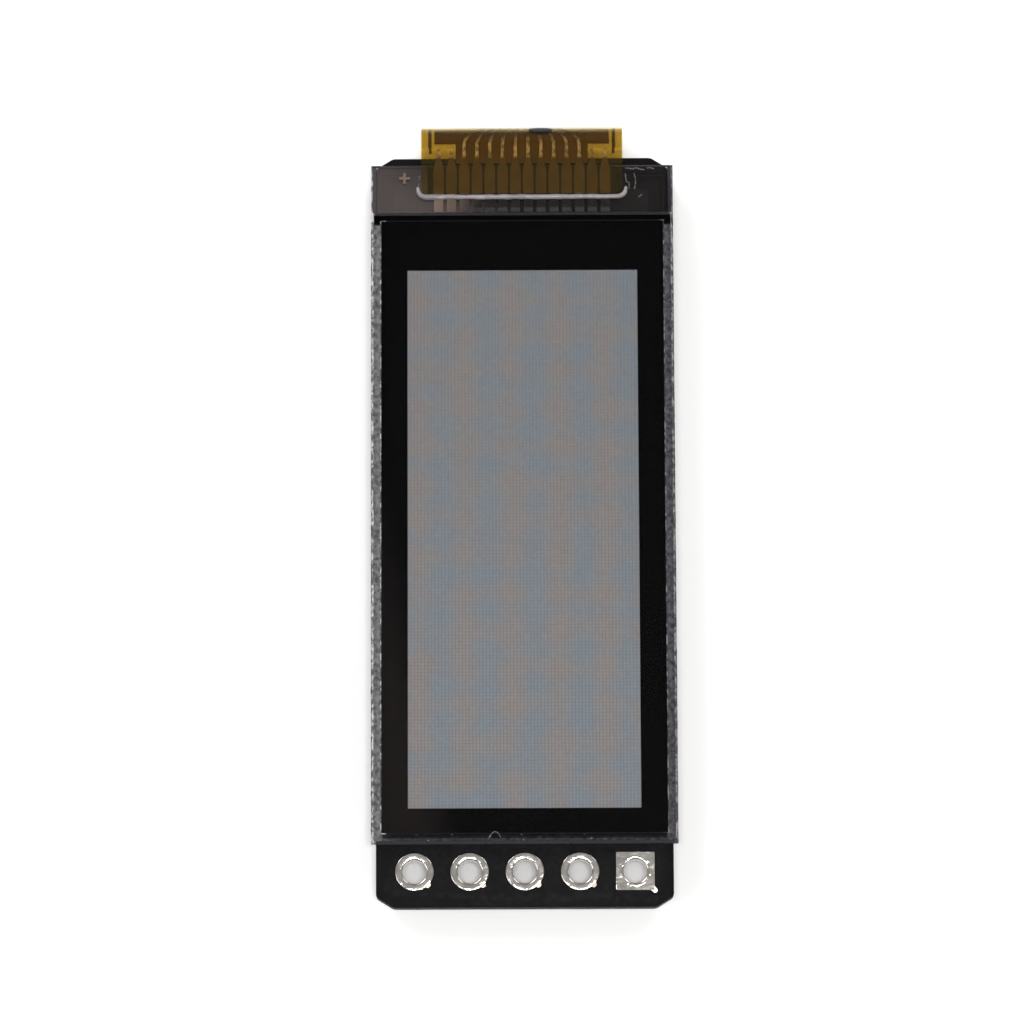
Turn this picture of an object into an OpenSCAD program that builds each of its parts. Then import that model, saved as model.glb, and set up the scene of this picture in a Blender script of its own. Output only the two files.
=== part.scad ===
// Reflective memory display module: a small dot display on a breakout board,
// with a flex circuit that wraps round the board's end into a flip-lock connector.
// X is the width, +Y points to the flex end, +Z points out of the screen.
// The origin is the middle of the module's box, on the plane that it rests on.

/* [Board] */
// Width of the circuit board
board_w = 13.7; // [12.6:0.1:18]
// Length of the circuit board
board_l = 35.28; // [30:0.04:45]
// Thickness of the circuit board
board_t = 1.0; // [0.6:0.1:1.6]
// Corner chamfer, measured across the board's ends
corner_x = 0.8; // [0.2:0.1:1.6]
// Corner chamfer, measured along the board's sides
corner_y = 0.5; // [0.2:0.1:1.6]
// Thickness of the solder mask, the depth of its openings
solder_mask_t = 0.02; // [0.01:0.005:0.04]

/* [Header holes] */
// Number of header holes
pin_count = 5; // [2:1:5]
// Distance from hole to hole
pin_pitch = 2.54; // [2.2:0.02:2.6]
// Distance from the board's end to the row of holes
pin_inset = 1.66; // [1.3:0.02:1.8]
// Diameter of the plated hole
hole_d = 1.1; // [0.8:0.02:1.3]
// Thickness of the plating in the hole
plating_t = 0.03; // [0.02:0.005:0.06]
// Diameter of the tinned pad, or the side of the square one
pad_d = 1.78; // [1.5:0.02:2]
// Thickness of the tinned pad
pad_t = 0.045; // [0.03:0.005:0.08]
// Width of the bare ring between the pad and the solder mask
pad_ring = 0.11; // [0.05:0.01:0.16]
// Width of the trace that leaves each pad
stub_w = 0.34; // [0.15:0.01:0.5]
// Length of that trace outside the pad, up to the solder mask
stub_l = 0.2; // [0.05:0.01:0.3]

/* [Display panel] */
// Distance that both glass plates reach past the board's sides
glass_overhang = 0.2; // [-0.5:0.05:0.5]
// Distance from the rear glass plate to the board's flex end
end_margin = 0.45; // [0.1:0.05:1]
// Thickness of each glass plate
glass_t = 0.25; // [0.2:0.05:0.5]
// Length of the bonding ledge that the front glass leaves free
ledge_l = 2.3; // [2:0.05:3]
// Distance from the board's end to the panel's edge
panel_inset = 2.88; // [2.8:0.02:3.2]
// Thickness of the double-sided tape
tape_t = 0.1; // [0.05:0.01:0.3]
// Distance from the glass edge to the tape's edge
tape_inset = 1.1; // [0.6:0.1:2.5]
// Thickness of each polarizing film
polarizer_t = 0.12; // [0.08:0.01:0.25]
// Distance from the glass edge to the film's edge
polarizer_inset = 0.42; // [0.2:0.02:0.9]
// Width of the adhesive ring that seals the cell
seal_w = 0.7; // [0.5:0.05:1]
// Distance from the glass edge to the adhesive ring
seal_inset = 0.05; // [0.02:0.01:0.3]
// Depth of the cell between the glass plates
cell_gap = 0.03; // [0.02:0.005:0.06]
// Thickness of the printed black border
border_t = 0.02; // [0.01:0.005:0.04]
// Thickness of the adhesive line between stacked layers
glue_t = 0.004; // [0.002:0.001:0.01]

/* [Dot area] */
// Distance from dot to dot
dot_pitch = 0.158; // [0.15:0.001:0.162]
// Distance from the panel's lower edge to the dot area
dot_inset = 1.64; // [1.3:0.02:2]
// Smallest distance from the panel's sides to the dot area
side_border = 1.67; // [1.2:0.01:2.5]
// Smallest distance from the front glass's ledge edge to the dot area
upper_border = 2.7; // [1.2:0.05:3.5]

/* [Flex circuit] */
// Width of the flex circuit on the glass and round the bend
flex_w = 9.44; // [9:0.02:11]
// Length of the flex circuit that lies on the ledge
bond_l = 1.35; // [1.1:0.05:1.6]
// Radius of the flex circuit's corners on the ledge
flex_corner_r = 0.3; // [0.1:0.05:0.6]
// Thickness of the base film
film_t = 0.04; // [0.025:0.005:0.06]
// Thickness of the copper
copper_t = 0.02; // [0.012:0.002:0.03]
// Thickness of the inner cover film
coverlay_t = 0.03; // [0.02:0.005:0.05]
// Distance from the glass to the inner cover film
coverlay_gap = 0.1; // [0.05:0.01:0.4]
// Thickness of the shield layer inside the bend
shield_t = 0.02; // [0.01:0.005:0.04]
// Width of the shield layer inside the bend
shield_w = 8.2; // [6:0.1:8.4]
// Width of the shield layer's middle, which reaches back as far as the inner cover film
shield_mid_w = 6.2; // [4:0.1:8]
// Angle from the top of the bend to the start of the shield layer
shield_start = 1; // [0:1:60]
// Angle from the top of the bend to the end of the shield layer
shield_stop = 125; // [90:5:170]
// Gap on each side of the copper that its flat facets need
trace_gap = 0.004; // [0.004:0.001:0.008]
// Distance from the board's end to the centre of the bend
bend_offset = 0.56; // [0.1:0.02:1]
// Distance from the board's back to the outside of the flex tail
tail_drop = 0.42; // [0.36:0.02:0.5]
// Width of the flex tail
tail_w = 5.5; // [5.2:0.1:6.4]
// Distance from the bend to the shoulders where the flex narrows to its tail
shoulder_l = 1.2; // [0.6:0.1:1.4]
// Radius where the flex narrows to its tail
shoulder_r = 0.6; // [0.2:0.1:1]
// Length of bare copper on the tail outside the connector
bare_l = 0.3; // [0.1:0.05:0.6]
// Thickness of the stiffener on the tail's end
stiffener_t = 0.2; // [0.1:0.02:0.22]
// Length of the stiffener
stiffener_l = 3.2; // [2.6:0.1:3.4]

/* [Flex copper] */
// Number of bonding fingers on the glass
finger_count = 14; // [12:2:14]
// Distance from finger to finger
finger_pitch = 0.6; // [0.5:0.01:0.62]
// Width of a bonding finger on the flex
finger_w = 0.5; // [0.3:0.01:0.56]
// Length of a bonding finger at its full width
finger_l = 1.05; // [0.6:0.05:1.3]
// Length over which a finger narrows to a trace
neck_l = 0.85; // [0.2:0.05:1.2]
// Width of a metal strip on the glass
terminal_w = 0.435; // [0.3:0.005:0.48]
// Thickness of the metal strips on the glass
terminal_t = 0.02; // [0.01:0.005:0.04]
// Thickness of the bonding film
bond_t = 0.02; // [0.01:0.005:0.04]
// Width of a trace
trace_w = 0.15; // [0.1:0.01:0.3]
// Distance from trace to trace in the bend
neck_pitch = 0.385; // [0.34:0.005:0.45]
// Width of a copper line along the flex's edge
guard_w = 0.13; // [0.08:0.01:0.2]
// Distance from the flex's edge to the middle of that line
guard_inset = 0.4; // [0.15:0.02:0.5]
// Distance along the flex from the ends of the outer fingers to those lines
guard_gap = 0.05; // [0.02:0.01:0.2]
// Width of the resin bead along the flex's edge
bead_w = 0.23; // [0.15:0.01:0.35]
// Length of the bead's turn up each side
bead_return = 0.35; // [0.1:0.05:0.8]
// Length of each arm of the alignment cross
cross_arm = 0.25; // [0.1:0.05:0.4]
// Width of the alignment cross's arms
cross_w = 0.12; // [0.06:0.01:0.2]
// Distance from the flex's side to the alignment cross
cross_gap = 0.78; // [0.65:0.01:1.2]
// Distance from the panel's end to the alignment cross
cross_drop = 0.6; // [0.45:0.05:1.4]
// Distance from the ledge's ends to the metal strips
terminal_inset = 0.06; // [0.02:0.01:0.2]

/* [Connector] */
// Number of contacts
ways = 10; // [6:2:10]
// Distance from contact to contact
contact_pitch = 0.5; // [0.45:0.01:0.52]
// Thickness of a contact blade
contact_t = 0.18; // [0.12:0.01:0.22]
// Width of the connector housing
housing_w = 8.0; // [7.8:0.1:9]
// Length of the connector housing, from the mouth to the back
housing_l = 3.3; // [3.2:0.05:3.8]
// Height of the connector housing
housing_h = 0.92; // [0.9:0.01:1.1]
// Distance from the board's end to the connector's mouth
mouth_inset = 3.9; // [3.2:0.1:6]
// Length of flex tail inside the connector
insert_l = 1.85; // [1.6:0.05:1.9]
// Play of the flex tail in the slot
slip = 0.025; // [0.015:0.005:0.05]
// Thickness of the housing's roof over the contact beams
roof_t = 0.09; // [0.07:0.01:0.1]
// Length of a contact's solder tail behind the housing
solder_tail_l = 0.6; // [0.3:0.05:0.8]
// Height of a contact's beams
blade_h = 0.13; // [0.08:0.01:0.15]
// Gap on each side of a contact in its groove
groove_gap = 0.02; // [0.01:0.005:0.04]
// Length of the closed sill at the mouth
sill_l = 0.3; // [0.15:0.01:0.4]
// Distance from the mouth to the contact points
bump_inset = 0.85; // [0.75:0.01:1]
// Length of the flat on a contact point
bump_w = 0.16; // [0.05:0.01:0.2]
// Gap between the contact points and the flex copper
bump_gap = 0.006; // [0.002:0.001:0.02]
// Distance from the tail's end to the contacts' webs
web_gap = 0.06; // [0.02:0.01:0.08]

/* [Latch] */
// Width of the latch between the housing's cheeks
latch_w = 5.9; // [5.6:0.1:6.2]
// Thickness of the latch's plate
latch_t = 0.3; // [0.22:0.02:0.34]
// Height of the latch above the plane that the module rests on
latch_lift = 0.08; // [0.04:0.01:0.12]
// Distance from the latch's inner face to its pivot
pivot_cover = 0.06; // [0.02:0.01:0.1]
// Distance from the tail's end to the latch's pivot
pivot_offset = 0.5; // [0.48:0.01:0.6]
// Play between the latch's slots and the contact hooks
hook_play = 0.02; // [0.01:0.005:0.04]
// Bevel of the latch's finger lip
lip = 0.14; // [0.05:0.01:0.2]
// Length of the latch from its pivot to its tip
latch_l = 1.15; // [1.1:0.05:1.3]
// Radius of the latch's pivot pins
pivot_r = 0.13; // [0.1:0.01:0.16]
// Length of the latch's pivot pins
pivot_l = 0.3; // [0.2:0.05:0.5]
// Radial play of the pivot pins
pivot_play = 0.02; // [0.01:0.005:0.04]
// Gap round the moving latch
latch_gap = 0.07; // [0.05:0.01:0.1]

/* [Hold-down tabs] */
// Thickness of the metal hold-down tabs
tab_t = 0.15; // [0.1:0.01:0.2]
// Length of the metal hold-down tabs
tab_l = 1.2; // [0.8:0.1:1.6]
// Length of a hold-down tab's foot beside the housing
tab_foot = 0.5; // [0.3:0.05:0.8]

/* [Chip parts] */
// Length of a chip part
chip_l = 1.0; // [0.8:0.1:1.6]
// Width of a chip part
chip_w = 0.5; // [0.3:0.05:0.8]
// Height of a capacitor
capacitor_h = 0.5; // [0.3:0.05:0.7]
// Height of the resistor
resistor_h = 0.35; // [0.25:0.05:0.5]
// Length of a chip part's metal end cap
cap_l = 0.25; // [0.15:0.05:0.3]
// Distance from chip part to chip part
chip_pitch = 2.2; // [2:0.1:3]
// Distance from the connector's back to the row of chip parts
chip_inset = 1.9; // [1.4:0.1:6]

/* [Lands and solder] */
// Thickness of the tinned lands
land_t = 0.03; // [0.02:0.005:0.05]
// Width of a land under a contact's tail
land_w = 0.3; // [0.2:0.01:0.36]
// Distance that the lands reach past the metal on them
land_margin = 0.15; // [0.05:0.01:0.25]
// Length of the solder fillets
fillet_l = 0.14; // [0.05:0.01:0.2]

/* [Hidden] */
$fn = 64;

// Overrun of a cut past the face that it opens, and overlap of shapes that are joined
over = 0.5;
seam = 0.01;

// Two capacitors and a resistor in one row
chip_count = 3;

// Heights of the stack, from the connector's roof on the table to the screen
z_lands = housing_h;
z_back = z_lands + land_t;
z_board = z_back + board_t;
z_rear_polarizer = z_board + tape_t;
z_rear_glass = z_rear_polarizer + polarizer_t + glue_t;
z_cell = z_rear_glass + glass_t;
z_mask = z_cell + cell_gap;
z_front_glass = z_mask + border_t + glue_t;
z_front_polarizer = z_front_glass + glass_t + glue_t;

// Heights of the bonded flex on the ledge
z_bond = z_cell + terminal_t;
z_finger = z_bond + bond_t;
flex_stack_t = trace_gap + copper_t + trace_gap + film_t;
z_flex_top = z_finger + flex_stack_t;

// The bend: half turns that share one centre, from the base film inwards
z_tail = z_back - tail_drop;
film_r = (z_flex_top - z_tail) / 2;
copper_r = film_r - film_t - trace_gap;
coverlay_r = copper_r - copper_t - trace_gap;
shield_r = coverlay_r - coverlay_t;
z_bend = z_tail + film_r;

// Sizes of the panel, which follow the board, and the whole dots that fit its window
glass_w = board_w + 2 * glass_overhang;
glass_l = board_l - panel_inset - end_margin;
front_l = glass_l - ledge_l;
dot_columns = floor((glass_w - 2 * side_border) / dot_pitch);
dot_rows = floor((front_l - dot_inset - upper_border) / dot_pitch);
dots_w = dot_columns * dot_pitch;
dots_l = dot_rows * dot_pitch;

// Places along the module
module_l = board_l + bend_offset + film_r;
y_start = -module_l / 2;
y_end = y_start + board_l;
y_bend = y_end + bend_offset;
y_pins = y_start + pin_inset;
y_panel = y_start + panel_inset;
y_glass_end = y_panel + glass_l;
y_ledge = y_glass_end - ledge_l;
y_tip = y_glass_end - bond_l;
y_cover = y_glass_end + coverlay_gap;
y_dots = y_panel + dot_inset;
y_mouth = y_end - mouth_inset;
y_tail_end = y_mouth - insert_l;
y_housing_back = y_mouth - housing_l;
y_chips = y_housing_back - chip_inset;

// The latch's pivot, and the space that its head sweeps in the housing
pivot_z = latch_lift + latch_t - pivot_cover;
head_r = pivot_z - latch_lift;
hook_r = head_r + hook_play;
pivot_v = insert_l + pivot_offset;
y_pivot = y_mouth - pivot_v;
recess_v = pivot_v - head_r - latch_gap;
recess_z = pivot_z + head_r + latch_gap / 2;

// The slot for the flex tail, and the contact blades in their grooves
z_copper_face = z_tail + film_t + trace_gap + copper_t;
z_slot_low = z_tail - stiffener_t - slip;
z_slot_high = z_copper_face + 2 * slip;
groove_w = contact_t + 2 * groove_gap;
solder_tail_v = housing_l + solder_tail_l;

// Offset of item i in a centred row
function row_at(i, count, pitch) = (i - (count - 1) / 2) * pitch;

// Smooth step from 0 to 1
function ease(t) = t <= 0 ? 0 : t >= 1 ? 1 : t * t * (3 - 2 * t);

// Share of the way from a to b at s, eased
function share(s, a, b) = ease((s - a) / (b - a));

// A rectangle centred on X, from y0 along +Y
module strip(w, y0, l) {
    translate([-w / 2, y0])
        square([w, l]);
}

// A flat plate centred on X, from y0 along +Y and from z0 up
module plate(w, y0, l, z0, t) {
    translate([0, 0, z0])
        linear_extrude(t)
            strip(w, y0, l);
}

// A profile drawn in (Y, Z), extruded along X and centred at x
module across(w, x = 0) {
    translate([x, 0, 0])
        rotate([90, 0, 90])
            linear_extrude(w, center = true)
                children();
}

// Board

module board_outline() {
    polygon([
        [-board_w / 2 + corner_x, y_start],
        [board_w / 2 - corner_x, y_start],
        [board_w / 2, y_start + corner_y],
        [board_w / 2, y_end - corner_y],
        [board_w / 2 - corner_x, y_end],
        [-board_w / 2 + corner_x, y_end],
        [-board_w / 2, y_end - corner_y],
        [-board_w / 2, y_start + corner_y]
    ]);
}

// Pad outline: round, or square at the first pin, which is the right-hand one
module pad_outline(i, grow = 0) {
    if (i == pin_count)
        square(pad_d + 2 * grow, center = true);
    else
        circle(d = pad_d + 2 * grow);
}

// The trace that leaves each pad at 45 degrees, from the pad's middle
module stub_outline(i) {
    pad_reach = (i == pin_count ? sqrt(2) : 1) * pad_d / 2;
    rotate(-45)
        translate([0, -stub_w / 2])
            square([pad_reach + stub_l, stub_w]);
}

module at_pin(i) {
    translate([row_at(i - 1, pin_count, pin_pitch), y_pins, 0])
        children();
}

module printed_circuit_board() {
    color("#17181a")
        difference() {
            translate([0, 0, z_back])
                linear_extrude(board_t)
                    board_outline();
            for (i = [1:pin_count])
                at_pin(i) {
                    translate([0, 0, z_back - over])
                        cylinder(d = hole_d + 2 * plating_t, h = board_t + 2 * over);
                    for (z = [z_back - over, z_board - solder_mask_t])
                        translate([0, 0, z])
                            linear_extrude(over + solder_mask_t)
                                pad_outline(i, pad_ring);
                    translate([0, 0, z_board - solder_mask_t])
                        linear_extrude(over)
                            stub_outline(i);
                }
        }
}

// A plated eyelet: a pad on each face, the barrel, and the trace that leaves the front pad
module header_pad(i) {
    barrel_l = board_t - 2 * solder_mask_t;
    z_low = z_back + solder_mask_t - pad_t;
    z_high = z_board - solder_mask_t;
    color("#b4b0a6")
        at_pin(i)
            difference() {
                union() {
                    for (z = [z_low, z_high])
                        translate([0, 0, z])
                            linear_extrude(pad_t)
                                pad_outline(i);
                    translate([0, 0, z_low])
                        cylinder(d = hole_d + 2 * plating_t, h = barrel_l + 2 * pad_t);
                    translate([0, 0, z_high])
                        linear_extrude(solder_mask_t)
                            stub_outline(i);
                }
                translate([0, 0, z_low - over])
                    cylinder(d = hole_d, h = barrel_l + 2 * pad_t + 2 * over);
            }
}

// One land on the board's back, centred at (x, y)
module land(x, y, w, l) {
    translate([x - w / 2, y - l / 2, z_lands])
        cube([w, l, land_t]);
}

module board_lands() {
    color("#b9b6ad") {
        for (i = [0:ways - 1])
            land(row_at(i, ways, contact_pitch), y_mouth - solder_tail_v + solder_tail_l / 2,
                 land_w, solder_tail_l + 2 * land_margin);
        for (side = [-1, 1])
            land(side * (housing_w / 2 + tab_foot / 2), y_mouth - tab_l,
                 tab_foot + 2 * land_margin, tab_l + 2 * land_margin);
        for (i = [0:chip_count - 1], side = [-1, 1])
            land(row_at(i, chip_count, chip_pitch), y_chips + side * (chip_l - cap_l) / 2,
                 chip_w, cap_l + 2 * fillet_l);
    }
}

// Display panel

module mounting_tape() {
    color("#3a3a3a")
        plate(glass_w - 2 * tape_inset, y_panel + tape_inset, glass_l - 2 * tape_inset, z_board, tape_t);
}

module rear_polarizer() {
    color("#5c6066")
        plate(glass_w - 2 * polarizer_inset, y_panel + polarizer_inset, glass_l - 2 * polarizer_inset,
              z_rear_polarizer, polarizer_t);
}

module rear_glass() {
    color("#55534f")
        plate(glass_w, y_panel, glass_l, z_rear_glass, glass_t);
}

// The row of metal strips on the ledge that the flex fingers bond to
module terminal_row() {
    for (i = [0:finger_count - 1])
        translate([row_at(i, finger_count, finger_pitch), 0, 0])
            plate(terminal_w, y_ledge + terminal_inset, ledge_l - 2 * terminal_inset, z_cell, terminal_t);
}

module glass_terminals() {
    color("#7d6a60") {
        terminal_row();
        translate([-flex_w / 2 - cross_gap, y_glass_end - cross_drop, z_cell])
            linear_extrude(terminal_t) {
                square([2 * cross_arm, cross_w], center = true);
                square([cross_w, 2 * cross_arm], center = true);
            }
    }
}

module cell_seal() {
    color("#6f6c68")
        translate([0, 0, z_cell])
            linear_extrude(cell_gap)
                difference() {
                    strip(glass_w - 2 * seal_inset, y_panel + seal_inset, front_l - 2 * seal_inset);
                    strip(glass_w - 2 * seal_w, y_panel + seal_w, front_l - 2 * seal_w);
                }
}

module pixel_layer() {
    color("#8c8c8e")
        plate(glass_w - 2 * seal_w, y_panel + seal_w, front_l - 2 * seal_w, z_cell, cell_gap);
}

// The border covers the cell up to the film's edge, and to the glass edge at the ledge
module black_mask() {
    color("#0c0c0d")
        translate([0, 0, z_mask])
            linear_extrude(border_t)
                difference() {
                    strip(glass_w - 2 * polarizer_inset, y_panel + polarizer_inset,
                          front_l - polarizer_inset);
                    strip(dots_w, y_dots, dots_l);
                }
}

module front_glass() {
    color("#a9adb0", 0.35)
        plate(glass_w, y_panel, front_l, z_front_glass, glass_t);
}

module front_polarizer() {
    color("#2c2d30", 0.5)
        plate(glass_w - 2 * polarizer_inset, y_panel + polarizer_inset, front_l - 2 * polarizer_inset,
              z_front_polarizer, polarizer_t);
}

// Flex circuit

// Half turn of one flex layer, from the angle a0 to a1 counted from the top, as a (Y, Z) profile
module bend_profile(r, t, a0 = 0, a1 = 180) {
    reach = 2 * r;
    translate([y_bend, z_bend])
        intersection() {
            difference() {
                circle(r);
                circle(r - t);
            }
            polygon(concat(
                [[0, 0]],
                [for (k = [0:4]) let (a = a0 + (a1 - a0) * k / 4) [reach * sin(a), reach * cos(a)]]
            ));
        }
}

// The flex on the glass, with rounded corners at its tip
module tip_outline(w, y0, r) {
    strip(w, y0 + r, y_bend - y0 - r);
    strip(w - 2 * r, y0, r);
    for (side = [-1, 1])
        translate([side * (w / 2 - r), y0 + r])
            circle(r);
}

// The flex behind the board, which narrows to its tail in rounded shoulders
module tail_outline(y_stop) {
    y_shoulder = y_bend - shoulder_l;
    strip(flex_w, y_shoulder, y_bend - y_shoulder);
    strip(tail_w, y_stop, y_bend - y_stop);
    for (side = [-1, 1])
        translate([side * tail_w / 2, y_shoulder])
            difference() {
                translate([side > 0 ? 0 : -shoulder_r, -shoulder_r])
                    square(shoulder_r);
                translate([side * shoulder_r, -shoulder_r])
                    circle(shoulder_r);
            }
}

module flex_film() {
    color("#a8771c") {
        translate([0, 0, z_bend + film_r - film_t])
            linear_extrude(film_t)
                tip_outline(flex_w, y_tip, flex_corner_r);
        across(flex_w)
            bend_profile(film_r, film_t);
        translate([0, 0, z_bend - film_r])
            linear_extrude(film_t)
                tail_outline(y_tail_end);
    }
}

module flex_coverlay() {
    exposed_l = insert_l + bare_l;
    color("#6b4a16") {
        plate(flex_w, y_cover, y_bend - y_cover, z_bend + coverlay_r - coverlay_t, coverlay_t);
        across(flex_w)
            bend_profile(coverlay_r, coverlay_t);
        translate([0, 0, z_bend - coverlay_r])
            linear_extrude(coverlay_t)
                tail_outline(y_tail_end + exposed_l);
    }
}

module flex_shield() {
    color("#4a3216") {
        across(shield_w)
            bend_profile(shield_r, shield_t, shield_start, shield_stop);
        across(shield_mid_w)
            bend_profile(shield_r, shield_t, 0, 90);
        plate(shield_mid_w, y_cover, y_bend - y_cover, z_bend + shield_r - shield_t, shield_t);
    }
}

module flex_stiffener() {
    color("#8a5f1a")
        plate(tail_w, y_tail_end, stiffener_l, z_tail - stiffener_t, stiffener_t);
}

// The copper lines along the flex's edges, from the ends of the outer fingers round the bend
module flex_guards() {
    y_guard = top_stations[top_steps - 1][0] + guard_gap;
    color("#5a3a14")
        for (side = [-1, 1], x = side * (flex_w / 2 - guard_inset)) {
            across(guard_w, x)
                bend_profile(copper_r, copper_t);
            translate([x, 0, 0])
                plate(guard_w, y_guard, y_bend - y_guard, z_bend + copper_r - copper_t, copper_t);
        }
}

// Stations along the copper: [y, angle], on the glass, round the bend and along the tail
bend_steps = 18;
top_steps = 10;
tail_steps = 6;
copper_top_l = y_bend - y_tip;
copper_bend_l = PI * copper_r;
copper_tail_l = y_bend - y_tail_end;

top_stations = [for (k = [0:top_steps - 1]) [y_tip + copper_top_l * k / top_steps, 0]];
bend_stations = [for (k = [0:bend_steps]) [y_bend, 180 * k / bend_steps]];
tail_stations = [for (k = [1:tail_steps]) [y_bend - copper_tail_l * k / tail_steps, 180]];

// Length along the copper at a station
function run_at(p) =
    p[1] == 0 ? p[0] - y_tip :
    copper_top_l + copper_bend_l * p[1] / 180 + (y_bend - p[0]);

// The fingers narrow to traces at the glass edge, the fan gathers up to the bend's outermost line,
// and it spreads again at the tail
copper_l = copper_top_l + copper_bend_l + copper_tail_l;
taper_end = finger_l + neck_l;
fan_start = copper_top_l;
fan_end = copper_top_l + copper_bend_l / 2;
spread_start = copper_top_l + copper_bend_l;
spread_end = copper_l - insert_l;

function trace_x(i, s) =
    row_at(i, finger_count, finger_pitch)
    + row_at(i, finger_count, neck_pitch - finger_pitch) * share(s, fan_start, fan_end)
    + row_at(i, finger_count, contact_pitch - neck_pitch) * share(s, spread_start, spread_end);

function trace_width(s) =
    finger_w
    + (trace_w - finger_w) * share(s, finger_l, taper_end)
    + (land_w - trace_w) * share(s, spread_start, spread_end);

// The four corners of a trace's section at a station
function trace_ring(i, p) =
    let (s = run_at(p), x = trace_x(i, s), half = trace_width(s) / 2)
    [for (c = [[-1, 0], [1, 0], [1, 1], [-1, 1]])
        let (r = copper_r - c[1] * copper_t)
        [x + c[0] * half, p[0] + r * sin(p[1]), z_bend + r * cos(p[1])]];

// One trace as a closed ribbon through its stations
module trace(i, stations) {
    count = len(stations);
    points = [for (p = stations) each trace_ring(i, p)];
    sides = [for (k = [0:count - 2], c = [0:3])
        let (a = 4 * k + c, b = 4 * k + (c + 1) % 4)
        each [[a, a + 4, b], [b, a + 4, b + 4]]];
    ends = [[0, 1, 2], [0, 2, 3],
            [for (c = [2, 1, 0]) 4 * (count - 1) + c],
            [for (c = [3, 2, 0]) 4 * (count - 1) + c]];
    polyhedron(points, concat(sides, ends));
}

// The outer fingers only hold the flex and stop before the bend
module flex_traces() {
    spare = (finger_count - ways) / 2;
    color("#b8763a")
        for (i = [0:finger_count - 1])
            if (i >= spare && i < finger_count - spare)
                trace(i, concat(top_stations, bend_stations, tail_stations));
            else
                trace(i, top_stations);
}

module bond_film() {
    color("#9a958c")
        plate(flex_w - 2 * flex_corner_r, y_tip, bond_l - terminal_inset, z_bond, bond_t);
}

// Section of the resin bead: a low arc that falls from the flex's edge to the glass
module bead_section() {
    bead_h = z_flex_top - z_cell;
    bead_r = (bead_w * bead_w + bead_h * bead_h) / (2 * bead_h);
    intersection() {
        translate([0, bead_h - bead_r])
            circle(bead_r);
        square([bead_w, bead_h]);
    }
}

// The bead follows the flex's edge round both corners, and flows in between the metal strips
module bond_resin() {
    r = flex_corner_r;
    color("#c9c6c2")
        difference() {
            translate([0, y_tip + r, z_cell]) {
                translate([0, -r, 0])
                    rotate([90, 0, -90])
                        linear_extrude(flex_w - 2 * r, center = true)
                            bead_section();
                for (side = [0, 1])
                    mirror([side, 0, 0])
                        translate([flex_w / 2 - r, 0, 0]) {
                            rotate(-90)
                                rotate_extrude(angle = 90)
                                    translate([r, 0])
                                        bead_section();
                            translate([r, bead_return, 0])
                                rotate([90, 0, 0])
                                    linear_extrude(bead_return)
                                        bead_section();
                        }
            }
            terminal_row();
        }
}

// Connector on the board's back

// Draws in (distance behind the mouth, Z) and extrudes along X, centred at x
module blade(w, x = 0) {
    translate([x, y_mouth, 0])
        mirror([0, 1, 0])
            rotate([90, 0, 90])
                linear_extrude(w, center = true)
                    children();
}

// A rectangle in (distance behind the mouth, Z)
module box_profile(v0, v1, z0, z1) {
    translate([v0, z0])
        square([v1 - v0, z1 - z0]);
}

module tab_seat(side) {
    translate([side * (housing_w / 2 - tab_t / 2), y_mouth - tab_l, z_lands])
        children();
}

module connector_housing() {
    slot_w = tail_w + 2 * slip;
    lead_in = 0.16;
    socket_l = pivot_l + latch_gap;
    color("#d9d3c3")
        difference() {
            blade(housing_w)
                box_profile(0, housing_l, 0, housing_h);
            blade(slot_w)
                polygon([
                    [-over, z_slot_low - lead_in / 2], [0, z_slot_low - lead_in / 2], [lead_in, z_slot_low],
                    [insert_l + slip, z_slot_low], [insert_l + slip, z_slot_high],
                    [lead_in, z_slot_high], [0, z_slot_high + lead_in], [-over, z_slot_high + lead_in]
                ]);
            for (i = [0:ways - 1])
                blade(groove_w, row_at(i, ways, contact_pitch))
                    box_profile(sill_l, housing_l + over, roof_t, housing_h + over);
            blade(latch_w + 2 * latch_gap)
                box_profile(recess_v, housing_l + over, -over, recess_z);
            for (side = [-1, 1])
                translate([side * (latch_w / 2 + latch_gap), y_pivot, pivot_z])
                    rotate([0, side * 90, 0])
                        cylinder(r = pivot_r + pivot_play, h = socket_l);
            for (side = [-1, 1])
                tab_seat(side)
                    translate([-tab_t / 2, -tab_l / 2, -housing_h / 2])
                        cube([tab_t, tab_l, housing_h]);
        }
}

// A stamped blade: base beam with its solder tail, sprung bump, web, and top beam with the latch's hook
module contact_profile() {
    base_z = z_lands - blade_h;
    bump_z = z_copper_face + bump_gap;
    web_v = insert_l + web_gap;
    beam_z = roof_t + groove_gap;
    box_profile(sill_l + groove_gap, solder_tail_v, base_z, z_lands);
    polygon([
        [bump_inset - 1.5 * bump_w, base_z + seam],
        [bump_inset - bump_w / 2, bump_z],
        [bump_inset + bump_w / 2, bump_z],
        [bump_inset + 2.5 * bump_w, base_z + seam]
    ]);
    box_profile(web_v, web_v + blade_h, beam_z, base_z + seam);
    box_profile(bump_inset, web_v + seam, beam_z, z_slot_low - groove_gap);
    box_profile(web_v, pivot_v + hook_r / 2, pivot_z - blade_h / 2, pivot_z + blade_h / 2);
}

module connector_contacts() {
    color("#c9a23c")
        for (i = [0:ways - 1])
            blade(contact_t, row_at(i, ways, contact_pitch))
                contact_profile();
}

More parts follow.
